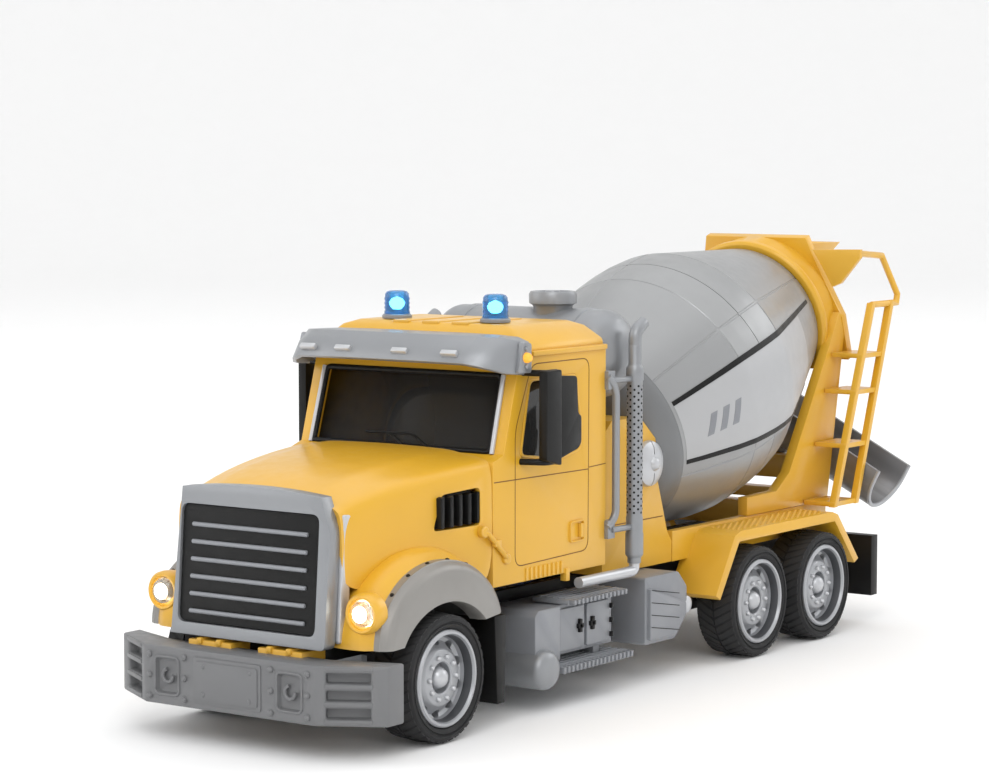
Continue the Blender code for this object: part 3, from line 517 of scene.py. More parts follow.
def both(stem, make, node):
    """A left piece and its mirror image on the right, in place of a pair of CAD nodes if one is named."""
    covers = [(node + "_" + side_name(side),) if node else () for side in SIDES]
    left = make(stem + "_left", covers[0])
    copy_of(left, stem + "_right", MIRROR, "chassis", covers[1])


# ---------------------------------------------------------------- bonnet, arches and lamps

HOOD_ROWS = (
    (HOOD_FRONT, 33.6, 80.6, 77.6, 52),
    (-152, 35.4, 84.4, 80.6, 51),
    (-140, 37.4, 86.8, 83.2, 50),
    (-124, 39.6, 88.8, 85.6, 48.5),
    (-108, 41.4, 89.9, 87.2, 47),
    (COWL_Y - 0.3, 42.6, 90.4, 88, 46),
)
PANEL_SHARE = 0.60          # half-width of the raised middle panel, as a share of the bonnet's


def hood_section(half, crown, shoulder, low):
    """Half a cross-section, from the foot of the side to the middle of the top."""
    edge = half * PANEL_SHARE
    rise = crown - shoulder
    return [
        (half, low), (half + 0.2, low + (shoulder - low) * 0.45), (half, shoulder - 5),
        (half - 0.9, shoulder - 1.6), (half - 3.4, shoulder), (edge + 2, shoulder + rise * 0.55),
        (edge, shoulder + rise * 0.80), (edge * 0.5, crown - 0.2), (0, crown),
    ]


def hood():
    bm = bmesh.new()
    grid = []
    for y, half, crown, shoulder, low in HOOD_ROWS:
        side = hood_section(half, crown, shoulder, low)
        row = [(x, y, z) for x, z in side] + [(-x, y, z) for x, z in reversed(side[:-1])]
        grid.append([bm.verts.new(p) for p in row])
    join_rows(bm, grid)
    skin = raw_object("bonnet", bm)
    rounding = skin.modifiers.new("rounding", "SUBSURF")
    rounding.levels = 2
    rounding.render_levels = 2
    thicken(skin, 1.6)
    apply_modifiers(skin)
    vents = bmesh.new()
    for side in SIDES:
        outline = rounded([(-123.6, 66.5), (-101, 66.5), (-101, 79), (-119.5, 78)], 2)
        add_prism(vents, outline, "X", *span(side, 37, 47))
    cut_away(skin, vents)
    finished(skin, "yellow", replaces=("hood_shell",), angle=30)


ARCH_CENTRE = (-130, 33.6)
FLARE_CENTRE = (-128.9, 33.6)
WELL_CENTRE = (-129, 24)
WELL_RADII = (25.8, 21.3)
LAMP_X, LAMP_Y, LAMP_Z = 41.2, -161.6, 45


def wheel_arch(shells, centre, end, well, steps):
    """A curved band over a wheel, from rows of (x, outer radii, inner radii)."""
    bm = bmesh.new()
    rings = []
    for x, wide, tall, *inside in shells:
        outer = arc(centre, (wide, tall), 180, end, steps)
        inner = arc(WELL_CENTRE, inside or WELL_RADII, *well, steps)
        rings.append([bm.verts.new((x, y, z)) for y, z in outer + inner])
    join_rings(bm, rings, caps=True)
    return bm


def front_arch(name, replaces):
    """A rounded yellow arch, fuller towards the bonnet, with its lamp socket."""
    shells = ((30, 33, 26.6), (33.5, 33.6, 28.4), (37, 33.8, 29), (40, 33.6, 28.4), (42.4, 33, 26.8),
              (44, 31.6, 24.4), (46.6, 30.2, 23.2))
    arch = wheel_arch(shells, ARCH_CENTRE, 20, (40, 152), 40)
    socket = made(add_rod, (LAMP_X, -175, LAMP_Z), (LAMP_X, -156.4, LAMP_Z), 3.4)
    obj = piece(name, arch, "yellow", replaces=replaces, cuts=[socket])
    obj.data.materials.append(FINISHES["black"][0])
    for face in obj.data.polygons:
        y, z = ((face.center / MM)[axis + 1] - WELL_CENTRE[axis] for axis in (0, 1))
        inside = math.hypot(y / WELL_RADII[0], z / WELL_RADII[1]) < 1.01
        if inside and z > 0 and abs(face.normal.x) < 0.9:
            face.material_index = 1
    return obj


def headlamp(name, replaces):
    """A clear domed lens."""
    profile = [(0, -5), (2.9, -5), (2.9, -0.6), (4.5, -0.4), (4.5, 0.8), (3.9, 2), (2.4, 2.9), (0, 3.2)]
    dome = made(add_turned, profile, along((LAMP_X, LAMP_Y, LAMP_Z), FORWARD))
    return piece(name, dome, "lens", replaces=replaces)


def lamp_details(side):
    """A yellow bezel round each headlamp and the bulb behind its lens."""
    seat = along((side * LAMP_X, LAMP_Y, LAMP_Z), FORWARD)
    ring = [(4.6, -4), (6.4, -4), (6.6, -1), (6.4, 1), (5.8, 1.8), (5.1, 1.6), (4.6, 0.6)]
    piece("lamp_bezel_" + side_name(side), made(add_turned, ring, seat), "yellow")
    seat = along((side * LAMP_X, LAMP_Y - 1, LAMP_Z), FORWARD)
    bulb = [(0, 2.6), (1.2, 2.4), (2.2, 1.9), (2.5, 1.2), (2.5, 0.6), (0, 0.6)]
    piece("lamp_bulb_" + side_name(side), made(add_turned, bulb, seat, 32), "lamp_glow")


def flare(name, replaces):
    """The grey arch trim: a flat face with a rounded lip."""
    shells = ((43.6, 32.3, 24.8, 25.4, 20.9), (46.8, 32.3, 24.8, 25.4, 20.9), (47.1, 31.8, 24.3, 25.4, 20.9),
              (48.6, 31.2, 23.7, 25.6, 21.1), (49.6, 29.8, 22.4, 25.8, 21.2), (50, 28.4, 21.2, 26, 21.4))
    trim = wheel_arch(shells, FLARE_CENTRE, 12, (38, 152.5), 48)
    return piece(name, trim, "flare_grey", replaces=replaces)


def flare_rivets(side):
    bm = bmesh.new()
    for angle in range(24, 176, 19):
        spot = arc(FLARE_CENTRE, (32.3, 24.8), angle, angle, 1)[0]
        away = Vector((0, math.cos(math.radians(angle)), math.sin(math.radians(angle))))
        add_turned(bm, [(0, 0.55), (0.6, 0.35), (0.9, -0.4), (0, -0.4)],
                   along((side * 45.6, spot[0], spot[1]), away), 16)
    piece("flare_rivets_" + side_name(side), bm, "black")


def hood_vents(side):
    """Black louvres set in each side of the bonnet."""
    bm = bmesh.new()
    back = rounded([(-122.8, 67), (-101.6, 67), (-101.6, 78.4), (-119, 77.4)], 2)
    add_prism(bm, back, "X", *span(side, 38.6, 39.4))
    for i in range(5):
        y = -121.2 + 4.9 * i
        slat = [(y - 0.7, 67.2), (y + 1.1, 67.2), (y + 1.1, 77.6), (y - 0.7, 77.2)]
        add_prism(bm, slat, "X", *span(side, 38.8, 41.9))
    piece("bonnet_vent_" + side_name(side), bm, "black", bevel=0.35)


def hood_latches(side):
    """The moulded turnbuckle that holds the bonnet down."""
    bm = bmesh.new()
    x = side * 42.9
    add_tube(bm, [(x, -101, 64.5), (x + side * 1.2, -99, 63.4), (x + side * 1.2, -89.4, 55),
                  (x, -87.2, 53.6)], 0.9, 12, 1.5)
    for y, z, radius in ((-100.6, 64.2, 2), (-88, 54, 1.9)):
        add_rod(bm, (x - side, y, z), (x + side * 1.4, y, z), radius, 24, 0.4)
    add_box(bm, (min(x, x + side * 1.9), -96, 58.8), (max(x, x + side * 1.9), -92.6, 61))
    piece("bonnet_latch_" + side_name(side), bm, "yellow", bevel=0.3)


# ---------------------------------------------------------------- grille and bumper

GRILLE_LEAN = Matrix.Translation((0, -2.6, 0))
GRILLE_LEAN[1][2] = 0.075          # the grille's Y grows with its height


def grille():
    crown = arc((0, 52), (90, 30.5), 108.5, 71.5, 14)
    outline = rounded([(-32.5, 33.5), (32.5, 33.5), (32.8, 70), (30.2, 79.6)], 2)
    outline = [p for p in outline if p[1] < 77] + list(reversed(crown))
    surround = made(add_prism, outline, "Y", -170.4, HOOD_FRONT - 2, GRILLE_LEAN)
    hole = rounded(rectangle((-28.4, 37.4), (28.4, 75.6)), 3)
    cuts = [made(add_prism, hole, "Y", -176, -158, GRILLE_LEAN)]
    piece("grille_surround_trim", surround, "silver", replaces=("grille_surround",), bevel=1.3, cuts=cuts)
    inset = rounded(rectangle((-28.2, 37.6), (28.2, 75.4)), 2.8)
    panel = made(add_prism, inset, "Y", -169.6, -166, GRILLE_LEAN)
    piece("grille_panel", panel, "black", replaces=("grille_insert",), bevel=0.3)
    bars = bmesh.new()
    for i in range(6):
        z = 41.2 + 5.56 * i
        ends = [GRILLE_LEAN @ Vector((x, -169.9, z)) for x in (-23.8, 23.8)]
        add_rod(bars, ends[0], ends[1], 0.75, 16, 0.3)
    piece("grille_bars", bars, "step_grey")
    # A strip of lighter silver down each side face of the surround: a painted highlight.
    for side in SIDES:
        edge = rounded([(-164.6, 35), (-160, 35), (-157.6, 75.4), (-162, 75.4)], 1)
        strip = made(add_prism, edge, "X", *span(side, 31.6, 33.9))
        piece("grille_return_" + side_name(side), strip, "bright", bevel=0.8)


BUMPER_FACE = BUMPER_FRONT + 1.2
HOOK_X = 25.3
BEND_X = 34.7               # where a wing starts
WING_BACK = 11.8            # how far back a wing's end lies


def bumper_outline():
    """The bar from above: a straight front and a wing swept back at each end."""
    wing = [(BUMPER_HALF, BUMPER_FACE + WING_BACK), (BUMPER_HALF, BUMPER_FACE + 20), (33, BUMPER_FACE + 12)]
    front = [(-BEND_X, BUMPER_FACE), (BEND_X, BUMPER_FACE)]
    return front + wing + [(-x, y) for x, y in reversed(wing)]


def wing_frame(side):
    """A placement on a bumper wing: local X runs outwards along it, local Z out of its face."""
    start = Vector((side * BEND_X, BUMPER_FACE, 0))
    end = Vector((side * BUMPER_HALF, BUMPER_FACE + WING_BACK, 0))
    run = (end - start).normalized()
    out = Vector((run.y * side, -run.x * side, 0))
    turn = Matrix((run, Vector(UP), out)).transposed().to_4x4()
    return Matrix.Translation(start) @ turn, (end - start).length


def add_plate(bm, seat, low, high, depth):
    """A raised rounded plate on a face, from 1 mm behind it."""
    add_prism(bm, rounded(rectangle(low, high), 1, 3), "Z", -1, depth, seat)


def bumper():
    bm = bmesh.new()
    add_prism(bm, bumper_outline(), "Z", 11.6, 30.6)
    for x in (-20.5, 20.5):
        add_box(bm, (x - 3, BUMPER_FRONT + 9, 20), (x + 3, -163.6, 27))
    cuts = bmesh.new()
    for side in SIDES:
        seat, length = wing_frame(side)
        for i in range(3):
            z = 13.9 + 5.5 * i
            add_prism(cuts, rectangle((4, z), (length - 5.5, z + 3.4)), "Z", -3.4, 2, seat)
        low, high = span(side, HOOK_X - 4.4, HOOK_X + 4.4)
        recess = rounded(rectangle((low, 15.6), (high, 26.6)), 1.6)
        add_prism(cuts, recess, "Y", BUMPER_FACE - 2, BUMPER_FACE + 1.4)
    piece("bumper_bar", bm, "bumper", replaces=("front_bumper",), bevel=1.1, cuts=[cuts])
    flat = Matrix.Translation((0, BUMPER_FACE, 0)) @ Matrix.Rotation(math.radians(90), 4, "X")
    trim = bmesh.new()
    add_plate(trim, flat, (-13.9, 13.6), (13.9, 28.4), 0.35)
    add_plate(trim, flat, (-12.7, 14.8), (12.7, 27.2), 0.75)
    for side in SIDES:
        ring = [(side * HOOK_X + 2.1 * math.cos(a), BUMPER_FACE + 0.4, 21.1 + 2.1 * math.sin(a))
                for a in [math.radians(100 + 24 * k) for k in range(12)]]
        add_tube(trim, ring, 0.6, 10, 0.4)
        low, high = span(side, HOOK_X - 5, HOOK_X + 5)
        frame_path = [(x, BUMPER_FACE, z) for x, z in rounded(rectangle((low, 15), (high, 27.2)), 2)]
        add_tube(trim, frame_path + frame_path[:2], 0.45, 10, 0.05)
    rivets = [(x, z) for x in (-9.6, 9.6) for z in (16.6, 25.6)]
    for side in SIDES:
        rivets += [(side * x, z) for x in (17.9, 32.6) for z in (14, 20.9, 27.6)]
    for x, z in rivets:
        add_turned(trim, [(0, 1.1), (0.6, 1), (1, 0.5), (1.1, -0.5), (0, -0.5)],
                   along((x, BUMPER_FACE, z), (0, -1, 0)), 16)
    piece("bumper_trim", trim, "bumper", bevel=0.15)
    ribs = bmesh.new()
    for side in SIDES:
        seat, length = wing_frame(side)
        for i in range(4):
            z = 12.5 + 5.5 * i
            add_prism(ribs, rectangle((3.6, z), (length - 5, z + 1.2)), "Z", -1, 0.35, seat)
    piece("bumper_ribs", ribs, "bumper", bevel=0.2)
    brackets = bmesh.new()
    for x in (-14.5, 14.5):
        add_box(brackets, (x - 9, -170.5, 27.2), (x + 9, -158.5, 32.2))
        for shift in (-5, 3):
            add_box(brackets, (x + shift, -171.2, 31), (x + shift + 2, -160, 33))
    piece("bumper_brackets", brackets, "yellow", bevel=0.4)


# ---------------------------------------------------------------- cab

def cab_profile(inset=0):
    """Side view of the cab below the roof."""
    i = inset
    return [
        (COWL_Y + i, 45 - 2 * i), (COWL_Y + i, 86.5), (-89 + i, 88.5), (-81.4 + i, 114.5),
        (-79.6 + i, ROOF_SEAM - i), (CAB_BACK - i, ROOF_SEAM - i), (CAB_BACK - i, 45 - 2 * i),
    ]


WINDOW = [(-74.5, 112.5), (-46.5, 112.9), (-42.8, 94.8), (-43.3, 86.3), (-56.1, 84), (-80, 87)]
DOOR = [(-82.5, 50.5), (-39, 51.5), (-38.6, 117.6), (-73, 117.6), (-82.5, 96)]


def add_line(bm, outline, radius, width, x_low, x_high):
    """A narrow channel that follows a closed outline, as separate strips."""
    path = rounded(outline, radius, 6)
    count = len(path)
    for i in range(count):
        a = Vector(path[i])
        b = Vector(path[(i + 1) % count])
        run = b - a
        if run.length < 0.01:
            continue
        run.normalize()
        off = Vector((-run.y, run.x)) * width / 2
        a = a - run * width * 0.3
        b = b + run * width * 0.3
        add_prism(bm, [tuple(a + off), tuple(b + off), tuple(b - off), tuple(a - off)], "X", x_low, x_high)


def cab():
    wall = 2
    body = made(add_prism, cab_profile(), "X", -CAB_HALF, CAB_HALF)
    hollow = made(add_prism, cab_profile(wall), "X", -CAB_HALF + wall, CAB_HALF - wall)
    opening = ((37, -99, 88.9), (36.5, -99, 114), (36.5, -70, 114), (37, -70, 88.9))
    screen = made(add_hull, [(side * x, y, z) for side in SIDES for x, y, z in opening])
    windows = made(add_prism, rounded(WINDOW, 2.2), "X", -CAB_HALF - 3, CAB_HALF + 3)
    cuts = [hollow, screen, windows]
    piece("cab_body", body, "yellow", replaces=("cab_shell",), bevel=1.1, cuts=cuts, segments=3)


def seams(side):
    """Fine dark joints round each door, under the roof and across the waist."""
    bm = bmesh.new()
    low, high = span(side, CAB_HALF - 0.6, CAB_HALF + 0.06)
    add_line(bm, DOOR, 4, 0.35, low, high)
    for start, end in (((-94.5, 79.6), (-38.8, 79.2)), ((-38.4, 79.8), (CAB_BACK - 0.2, 80.2))):
        add_prism(bm, [(start[0], start[1]), (end[0], end[1]), (end[0], end[1] + 0.35),
                       (start[0], start[1] + 0.35)], "X", low, high)
    piece("door_seam_" + side_name(side), bm, "seam")


def handles(side):
    bm = bmesh.new()
    ring = [(-50.2, 55.2), (-42.2, 55.4), (-42.2, 62.2), (-50.2, 62)]
    add_line(bm, ring, 1, 0.6, *span(side, CAB_HALF - 0.5, CAB_HALF + 0.7))
    low, high = span(side, CAB_HALF, CAB_HALF + 1.3)
    add_box(bm, (low, -45, 56.4), (high, -43.4, 61.2))
    piece("door_handle_" + side_name(side), bm, "yellow", bevel=0.25)


def window_trims(side):
    bm = bmesh.new()
    low, high = span(side, CAB_HALF - 1.8, CAB_HALF + 0.25)
    add_prism(bm, rounded(WINDOW, 2.4), "X", low, high)
    opening = bmesh.new()
    inner = [((y + 60) * 0.94 - 60, (z - 99) * 0.94 + 99) for y, z in WINDOW]
    add_prism(opening, rounded(inner, 2.2), "X", low - 2, high + 2)
    piece("window_trim_" + side_name(side), bm, "yellow", bevel=0.3, cuts=[opening])


def screen_point(x, share):
    """A point on the raked windscreen, by its share of the way up."""
    bow = 4.5 * (1 - (x / 38) ** 2)
    y = -88.7 + share * 7.4 - bow * 0.25
    return (x, y, 88.9 + share * 25)


def screen_trims():
    """Black gasket, bright corner strips that are painted highlights where the glass wraps round, and two
    wipers.
    """
    gasket = bmesh.new()
    edge = [screen_point(x, s) for x, s in ((-37.6, 0), (37.6, 0), (37.2, 1), (-37.2, 1))]
    add_tube(gasket, edge + [edge[0]], 1, 12, 2)
    piece("screen_gasket", gasket, "black")
    for side in SIDES:
        # A bar of lighter silver up each corner of the screen: a painted highlight.
        strip = bmesh.new()
        add_tube(strip, [(side * 38.4, -89.4, 88.5), (side * 37.9, -81.9, 114.2)], 0.85, 12)
        piece("screen_strip_" + side_name(side), strip, "bright")
        wiper = bmesh.new()
        root = side * 5 + 10
        arm = [(root, -91.2, 88.4), (root - 9, -89.8, 93.4), (root - 19, -89.6, 93.2)]
        add_tube(wiper, arm, 0.45, 10, 2)
        add_rod(wiper, (root, -92, 87.4), (root, -90.2, 89.4), 1.1, 16)
        piece("wiper_" + side_name(side), wiper, "black")


def rocker(side):
    """Upright ribs below each door and the small step hook."""
    bm = bmesh.new()
    low, high = span(side, CAB_HALF - 0.6, CAB_HALF + 0.55)
    for i in range(9):
        y = -76.7 + 2.6 * i
        add_box(bm, (low, y, 45.2), (high, y + 1.2, 49.4))
    low, high = span(side, CAB_HALF - 2, CAB_HALF + 0.6)
    add_box(bm, (low, -53, 42.2), (high, -50.8, 46.6))
    piece("rocker_ribs_" + side_name(side), bm, "yellow", bevel=0.25)


def roof():
    low = [(x, y, ROOF_SEAM + 0.3) for x in (-CAB_HALF, CAB_HALF) for y in (-77, CAB_BACK)]
    mid = [(x, y, ROOF_SEAM + 3) for x in (-42.2, 42.2) for y in (-77, CAB_BACK - 0.4)]
    high = [(x, y, ROOF_TOP - 1.6) for x in (-37, 37) for y in (-74, CAB_BACK - 3.6)]
    top = [(x, y, ROOF_TOP) for x in (-32, 32) for y in (-71, CAB_BACK - 6.5)]
    panel = made(add_hull, low + mid + high + top)
    piece("roof_panel", panel, "yellow", replaces=("cab_roof",), bevel=1.4)
    ledge = bmesh.new()
    for side in SIDES:
        a, b = span(side, CAB_HALF - 1, CAB_HALF + 0.9)
        add_box(ledge, (a, -73, ROOF_SEAM - 0.9), (b, CAB_BACK - 0.2, ROOF_SEAM + 0.9))
    for x in (-12.5, 0, 12.5):
        add_box(ledge, (x - 3.6, -72, ROOF_TOP - 1), (x + 3.6, -40, ROOF_TOP + 0.45))
    piece("roof_trim", ledge, "yellow", bevel=0.4)


def visor():
    rows = (
        (0, -101, 119.2, -93, 127.6),
        (20, -101, 119.2, -93, 127.6),
        (34.5, -100.4, 119, -92, 127.4),
        (41, -96, 117.4, -87, 127),
        (45, -91, 115.6, -82, 125.6),
        (46.4, -82, 114.6, -78, 124),
    )
    bm = bmesh.new()
    line = [(-x, a, b, c, d) for x, a, b, c, d in reversed(rows[1:])] + list(rows)
    grid = []
    for x, low_y, low_z, top_y, top_z in line:
        bulge = ((low_y * 0.45 + top_y * 0.55) - 1.1, (low_z * 0.45 + top_z * 0.55) + 0.5)
        back = (-77.6, top_z - 0.2)
        spots = [(x, low_y, low_z), (x, *bulge), (x, top_y, top_z), (x, *back)]
        grid.append([bm.verts.new(p) for p in spots])
    join_rows(bm, grid)
    skin = raw_object("visor_peak", bm)
    thicken(skin, 1.5)
    soften(skin, 0.5, angle=40)
    apply_modifiers(skin)
    finished(skin, "silver", replaces=("sun_visor",), angle=32)
    visor_lamps()


def visor_lamps():
    """Small clear markers along the peak and an amber one at each end that has a faint painted glow."""
    markers = bmesh.new()
    lean = math.atan2(8, 8.4)
    for x in (-31, -16, 8, 28.5):
        seat = Matrix.Translation((x, -99.4, 121.8)) @ Matrix.Rotation(-lean, 4, "X")
        add_box(markers, (-3.2, -1.2, -0.8), (3.2, 0.8, 1), seat)
    piece("visor_markers", markers, "bright", bevel=0.3)
    for side in SIDES:
        plate = bmesh.new()
        outline = rounded([(-86.5, 115.4), (-79, 115.2), (-79, 125), (-83.5, 125.6)], 1)
        add_prism(plate, outline, "X", *span(side, 45.2, 47.2))
        for z in (117.4, 123.4):
            add_rod(plate, (side * 46.6, -82.2, z), (side * 48, -82.2, z), 0.9, 16, 0.2)
        piece("visor_end_" + side_name(side), plate, "silver", bevel=0.3)
        lamp = bmesh.new()
        add_turned(lamp, [(0, 2.4), (1.1, 2.1), (1.7, 1.2), (1.8, -0.5), (0, -0.5)],
                   along((side * 47, -82.2, 120.4), (side, 0, 0)), 24)
        piece("visor_amber_" + side_name(side), lamp, "amber")


def beacon_seat(side=1):
    return along((side * 21, -63, ROOF_TOP + 0.3), UP)


def beacon(name, replaces):
    """A ribbed blue dome."""
    profile = [(0, 1.5), (4.5, 1.5)]
    for i in range(4):
        profile += [(4.5, 2.2 + 1.5 * i), (4.25, 2.9 + 1.5 * i)]
    profile += [(4.2, 8.4), (3.6, 9.2), (2.4, 9.6), (0, 9.7)]
    return piece(name, made(add_turned, profile, beacon_seat()), "beacon", replaces=replaces)


def beacon_details(side):
    foot = [(0, 0), (5.2, 0), (5.2, 0.9), (4.7, 1.4), (0, 1.4)]
    piece("beacon_foot_" + side_name(side), made(add_turned, foot, beacon_seat(side)), "step_grey")
    bulb = [(0, 3), (1, 3.1), (1.7, 4.2), (1.9, 5.4), (1.4, 6.6), (0, 7.2)]
    piece("beacon_bulb_" + side_name(side), made(add_turned, bulb, beacon_seat(side), 32), "beacon_glow")


def mirror(name, replaces):
    """A front shroud and a wider glass housing on two arms from the door pillar."""
    bm = bmesh.new()
    shroud = [(-78.3, 86.2), (-70.6, 84.2), (-69.6, 84.2), (-69.6, 116), (-78.3, 116)]
    add_prism(bm, rounded(shroud, 1), "X", 49.6, 53)
    glass = [(-70.6, 85.8), (-58.6, 88.8), (-56.9, 90.6), (-56.9, 99.6), (-58.8, 100.6), (-59.6, 113.2),
             (-70.6, 114)]
    add_prism(bm, rounded(glass, 1.2), "X", 50.4, 52.4)
    for start, end, z in ((-78.2, -76, 115), (-79.4, -76, 85.4)):
        add_tube(bm, [(CAB_HALF - 0.5, start, z), (51, end, z), (51, -69.8, z)], 1.1, 12, 2)
    return piece(name, bm, "black", replaces=replaces, bevel=0.5)


# ---------------------------------------------------------------- side gear

STACK_X = 45.2
STACK_Y = -13


def exhaust(name, replaces):
    """A perforated stack with its curved tip, elbow, rail and two clamps."""
    bm = bmesh.new()
    profile = [(0, 44), (2.4, 44), (2.4, 46), (3.2, 47), (3.2, 54.4), (3, 55), (3, 60.2), (2.8, 60.8),
               (2.8, 108), (3.1, 108.5), (3.1, 112.6), (2.6, 113.4), (2.3, 114), (2.3, 121), (0, 121)]
    add_turned(bm, profile, Matrix.Translation((STACK_X, STACK_Y, 0)), 48)
    tip = [(STACK_X, STACK_Y, 119), (STACK_X, STACK_Y, 125.4), (STACK_X, STACK_Y + 5.4, 128.4)]
    add_tube(bm, tip, 2.3, 24, 4)
    for y, z in ((-26.4, 56.4), (-26.4, 108.4)):
        low = (CAB_HALF - 1.5, y - 2.4, z - 2.4)
        high = (CAB_HALF + 1.6, y + 2, z + 4)
        add_box(bm, low, high)
        add_tube(bm, [(44.4, y, z + 0.6), (STACK_X, STACK_Y - 2, z + 0.6)], 1.1, 12)
    rail = [(44, -28.4, 58), (44.6, -24, 61.6), (44.6, -24, 106), (44, -28.4, 110.6)]
    add_tube(bm, rail, 1.35, 20, 4)
    return piece(name, bm, "silver", replaces=replaces, bevel=0.25)


def exhaust_details(side):
    """Black dots round a stack that paint the shade inside its holes, and the elbow below it."""
    rows, columns = 19, 12
    first_z, last_z = 62, 107.6
    # Each hole is a thin black disc on the stack's surface: painted shade, with no opening cut.
    holes = bmesh.new()
    for column in range(columns):
        angle = 2 * math.pi * column / columns
        for row in range(rows):
            z = first_z + (last_z - first_z) * row / rows + (1.25 if column % 2 else 0)
            away = Vector((math.cos(angle), math.sin(angle), 0))
            spot = Vector((side * STACK_X, STACK_Y, z)) + away * 2.76
            add_turned(holes, [(0, 0.1), (0.42, 0.1), (0.42, -0.2), (0, -0.2)], along(spot, away), 10)
    piece("stack_hole_shade_" + side_name(side), holes, "black")
    x = side * STACK_X
    elbow = [(x, STACK_Y, 46), (x, STACK_Y, 41.2), (x, -48, 41.2)]
    piece("stack_elbow_" + side_name(side), made(add_tube, elbow, 1.9, 24, 4.6), "bright")


TANK_CENTRE = Vector((0, -10.5, 117))
TANK_RADIUS = 15.5
DRUM_ROOM = [(0, -13), (20, -12.4), (38.6, 9), (44.8, 27), (50, 46), (51, 60), (0, 60)]


def tank():
    """The cross tank, cut away where the drum turns below it."""
    dome = arc((0, 30), (TANK_RADIUS, 10.4), 0, 90, 12)
    top = dome[:-1] + [(0, 40.4)]
    low = [(radius, -height) for radius, height in reversed(top)]
    barrel = made(add_turned, low + top, along(TANK_CENTRE, OUTWARD), 80)
    cuts = [made(add_turned, DRUM_ROOM, DRUM, 96)]
    piece("tank_barrel", barrel, "silver", replaces=("water_tank",), cuts=cuts)
    neck = [(0, 129), (7, 129), (7, 133), (7.4, 133.6), (8.5, 134.2), (8.6, 137.4), (8, 138.4),
            (6.6, 138.4), (6.2, 137.6), (3, 137.6), (2.6, 138.6), (0, 138.8)]
    piece("tank_filler", made(add_turned, neck, Matrix.Translation((9.4, -11.5, 0)), 64), "silver")
    bands = bmesh.new()
    for x in (-24, 24):
        seat = along(TANK_CENTRE + Vector((x, 0, 0)), OUTWARD)
        add_turned(bands, [(15.4, -1.4), (15.9, -1.1), (15.9, 1.1), (15.4, 1.4)], seat, 80)
    piece("tank_bands", bands, "silver", cuts=[made(add_turned, DRUM_ROOM, DRUM, 96)])


def tool_box(name, replaces):
    """The side tool box with its end block, treads' stays and rear locker."""
    bm = bmesh.new()
    add_box(bm, (22.3, -74, 22), (26, 19, 33))
    add_box(bm, (24.2, -70, 17.4), (43.6, -25, 34.6))
    front = [(-75, 16.6), (-60, 16.6), (-60, 34.8), (-73, 34.8), (-75, 32.8)]
    add_prism(bm, rounded(front, 0.8), "X", 24, 46)
    for y in (-58, -34):
        add_box(bm, (36, y, 13.4), (42, y + 4, 18))
    locker = [(-8, 14), (12, 14), (20, 22), (20, 32), (14, 38), (-8, 38)]
    add_prism(bm, rounded(locker, 1), "X", 24, 46.6)
    lid = [(-6.5, 15.6), (11.2, 15.6), (17.6, 22.4), (17.6, 26.5), (-6.5, 34.2)]
    add_prism(bm, rounded(lid, 0.8), "X", 40, 48)
    return piece(name, bm, "step_grey", replaces=replaces, bevel=0.5)


def tool_box_doors(side):
    doors = bmesh.new()
    low, high = span(side, 43.2, 44.6)
    for start, end in ((-58.2, -43.4), (-41.8, -27.6)):
        add_prism(doors, rounded(rectangle((start, 18.6), (end, 33.2)), 0.8), "X", low, high)
    piece("locker_doors_" + side_name(side), doors, "step_grey", bevel=0.3)
    latches = bmesh.new()
    low, high = span(side, 44.4, 45.6)
    for y in (-46.6, -39):
        add_box(latches, (low, y - 0.8, 24), (high, y + 0.8, 28.6))
        add_box(latches, (low, y - 1.6, 25.4), (high, y + 1.6, 27))
    for z in (20.8, 25.8, 30.8):
        add_box(latches, (low, -27.8, z - 0.9), (high, -26.6, z + 0.9))
    piece("locker_latches_" + side_name(side), latches, "black", bevel=0.2)
    lines = bmesh.new()
    low, high = span(side, 47.8, 48.08)
    for i in range(4):
        z = 17.2 + 4.4 * i
        add_prism(lines, [(-5.8, z + 3), (12.6, z - 0.2), (12.6, z + 0.1), (-5.8, z + 3.3)], "X", low, high)
    piece("locker_lines_" + side_name(side), lines, "black")


def treads(side):
    """Two comb-edged foot plates on each side."""
    bm = bmesh.new()
    for start, end, z, thick in ((-58, -24, 35, 1.7), (-64, -20, 12.4, 2.2)):
        low, high = span(side, 33, 47.8)
        add_box(bm, (low, start, z), (high, end, z + thick))
        low, high = span(side, 47.6, 50)
        teeth = int((end - start) / 2.4)
        for i in range(teeth):
            y = start + (i + 0.5) * (end - start) / teeth
            add_box(bm, (low, y - 0.62, z), (high, y + 0.62, z + thick))
        for i in range(5):
            x = side * (35.5 + 2.5 * i)
            add_box(bm, (x - 0.4, start + 1, z + thick - 0.1), (x + 0.4, end - 1, z + thick + 0.35))
    piece("foot_plates_" + side_name(side), bm, "step_grey", bevel=0.15)


def air_tanks(side):
    seat = along((side * 26, -71, 14.6), (side, 0, 0))
    large = [(0, 0), (6.8, 0), (6.8, 20.6), (6.5, 22.2), (5.6, 23.4), (4, 24.1), (0, 24.5)]
    piece("air_tank_" + side_name(side), made(add_turned, large, seat), "silver")
    seat = along((side * 30, 21, 25), (side, 0, 0))
    small = [(0, 0), (3.6, 0), (3.6, 14.6), (3, 16.2), (1.6, 17), (0, 17.2)]
    piece("side_bottle_" + side_name(side), made(add_turned, small, seat, 40), "bright")


# ---------------------------------------------------------------- drum

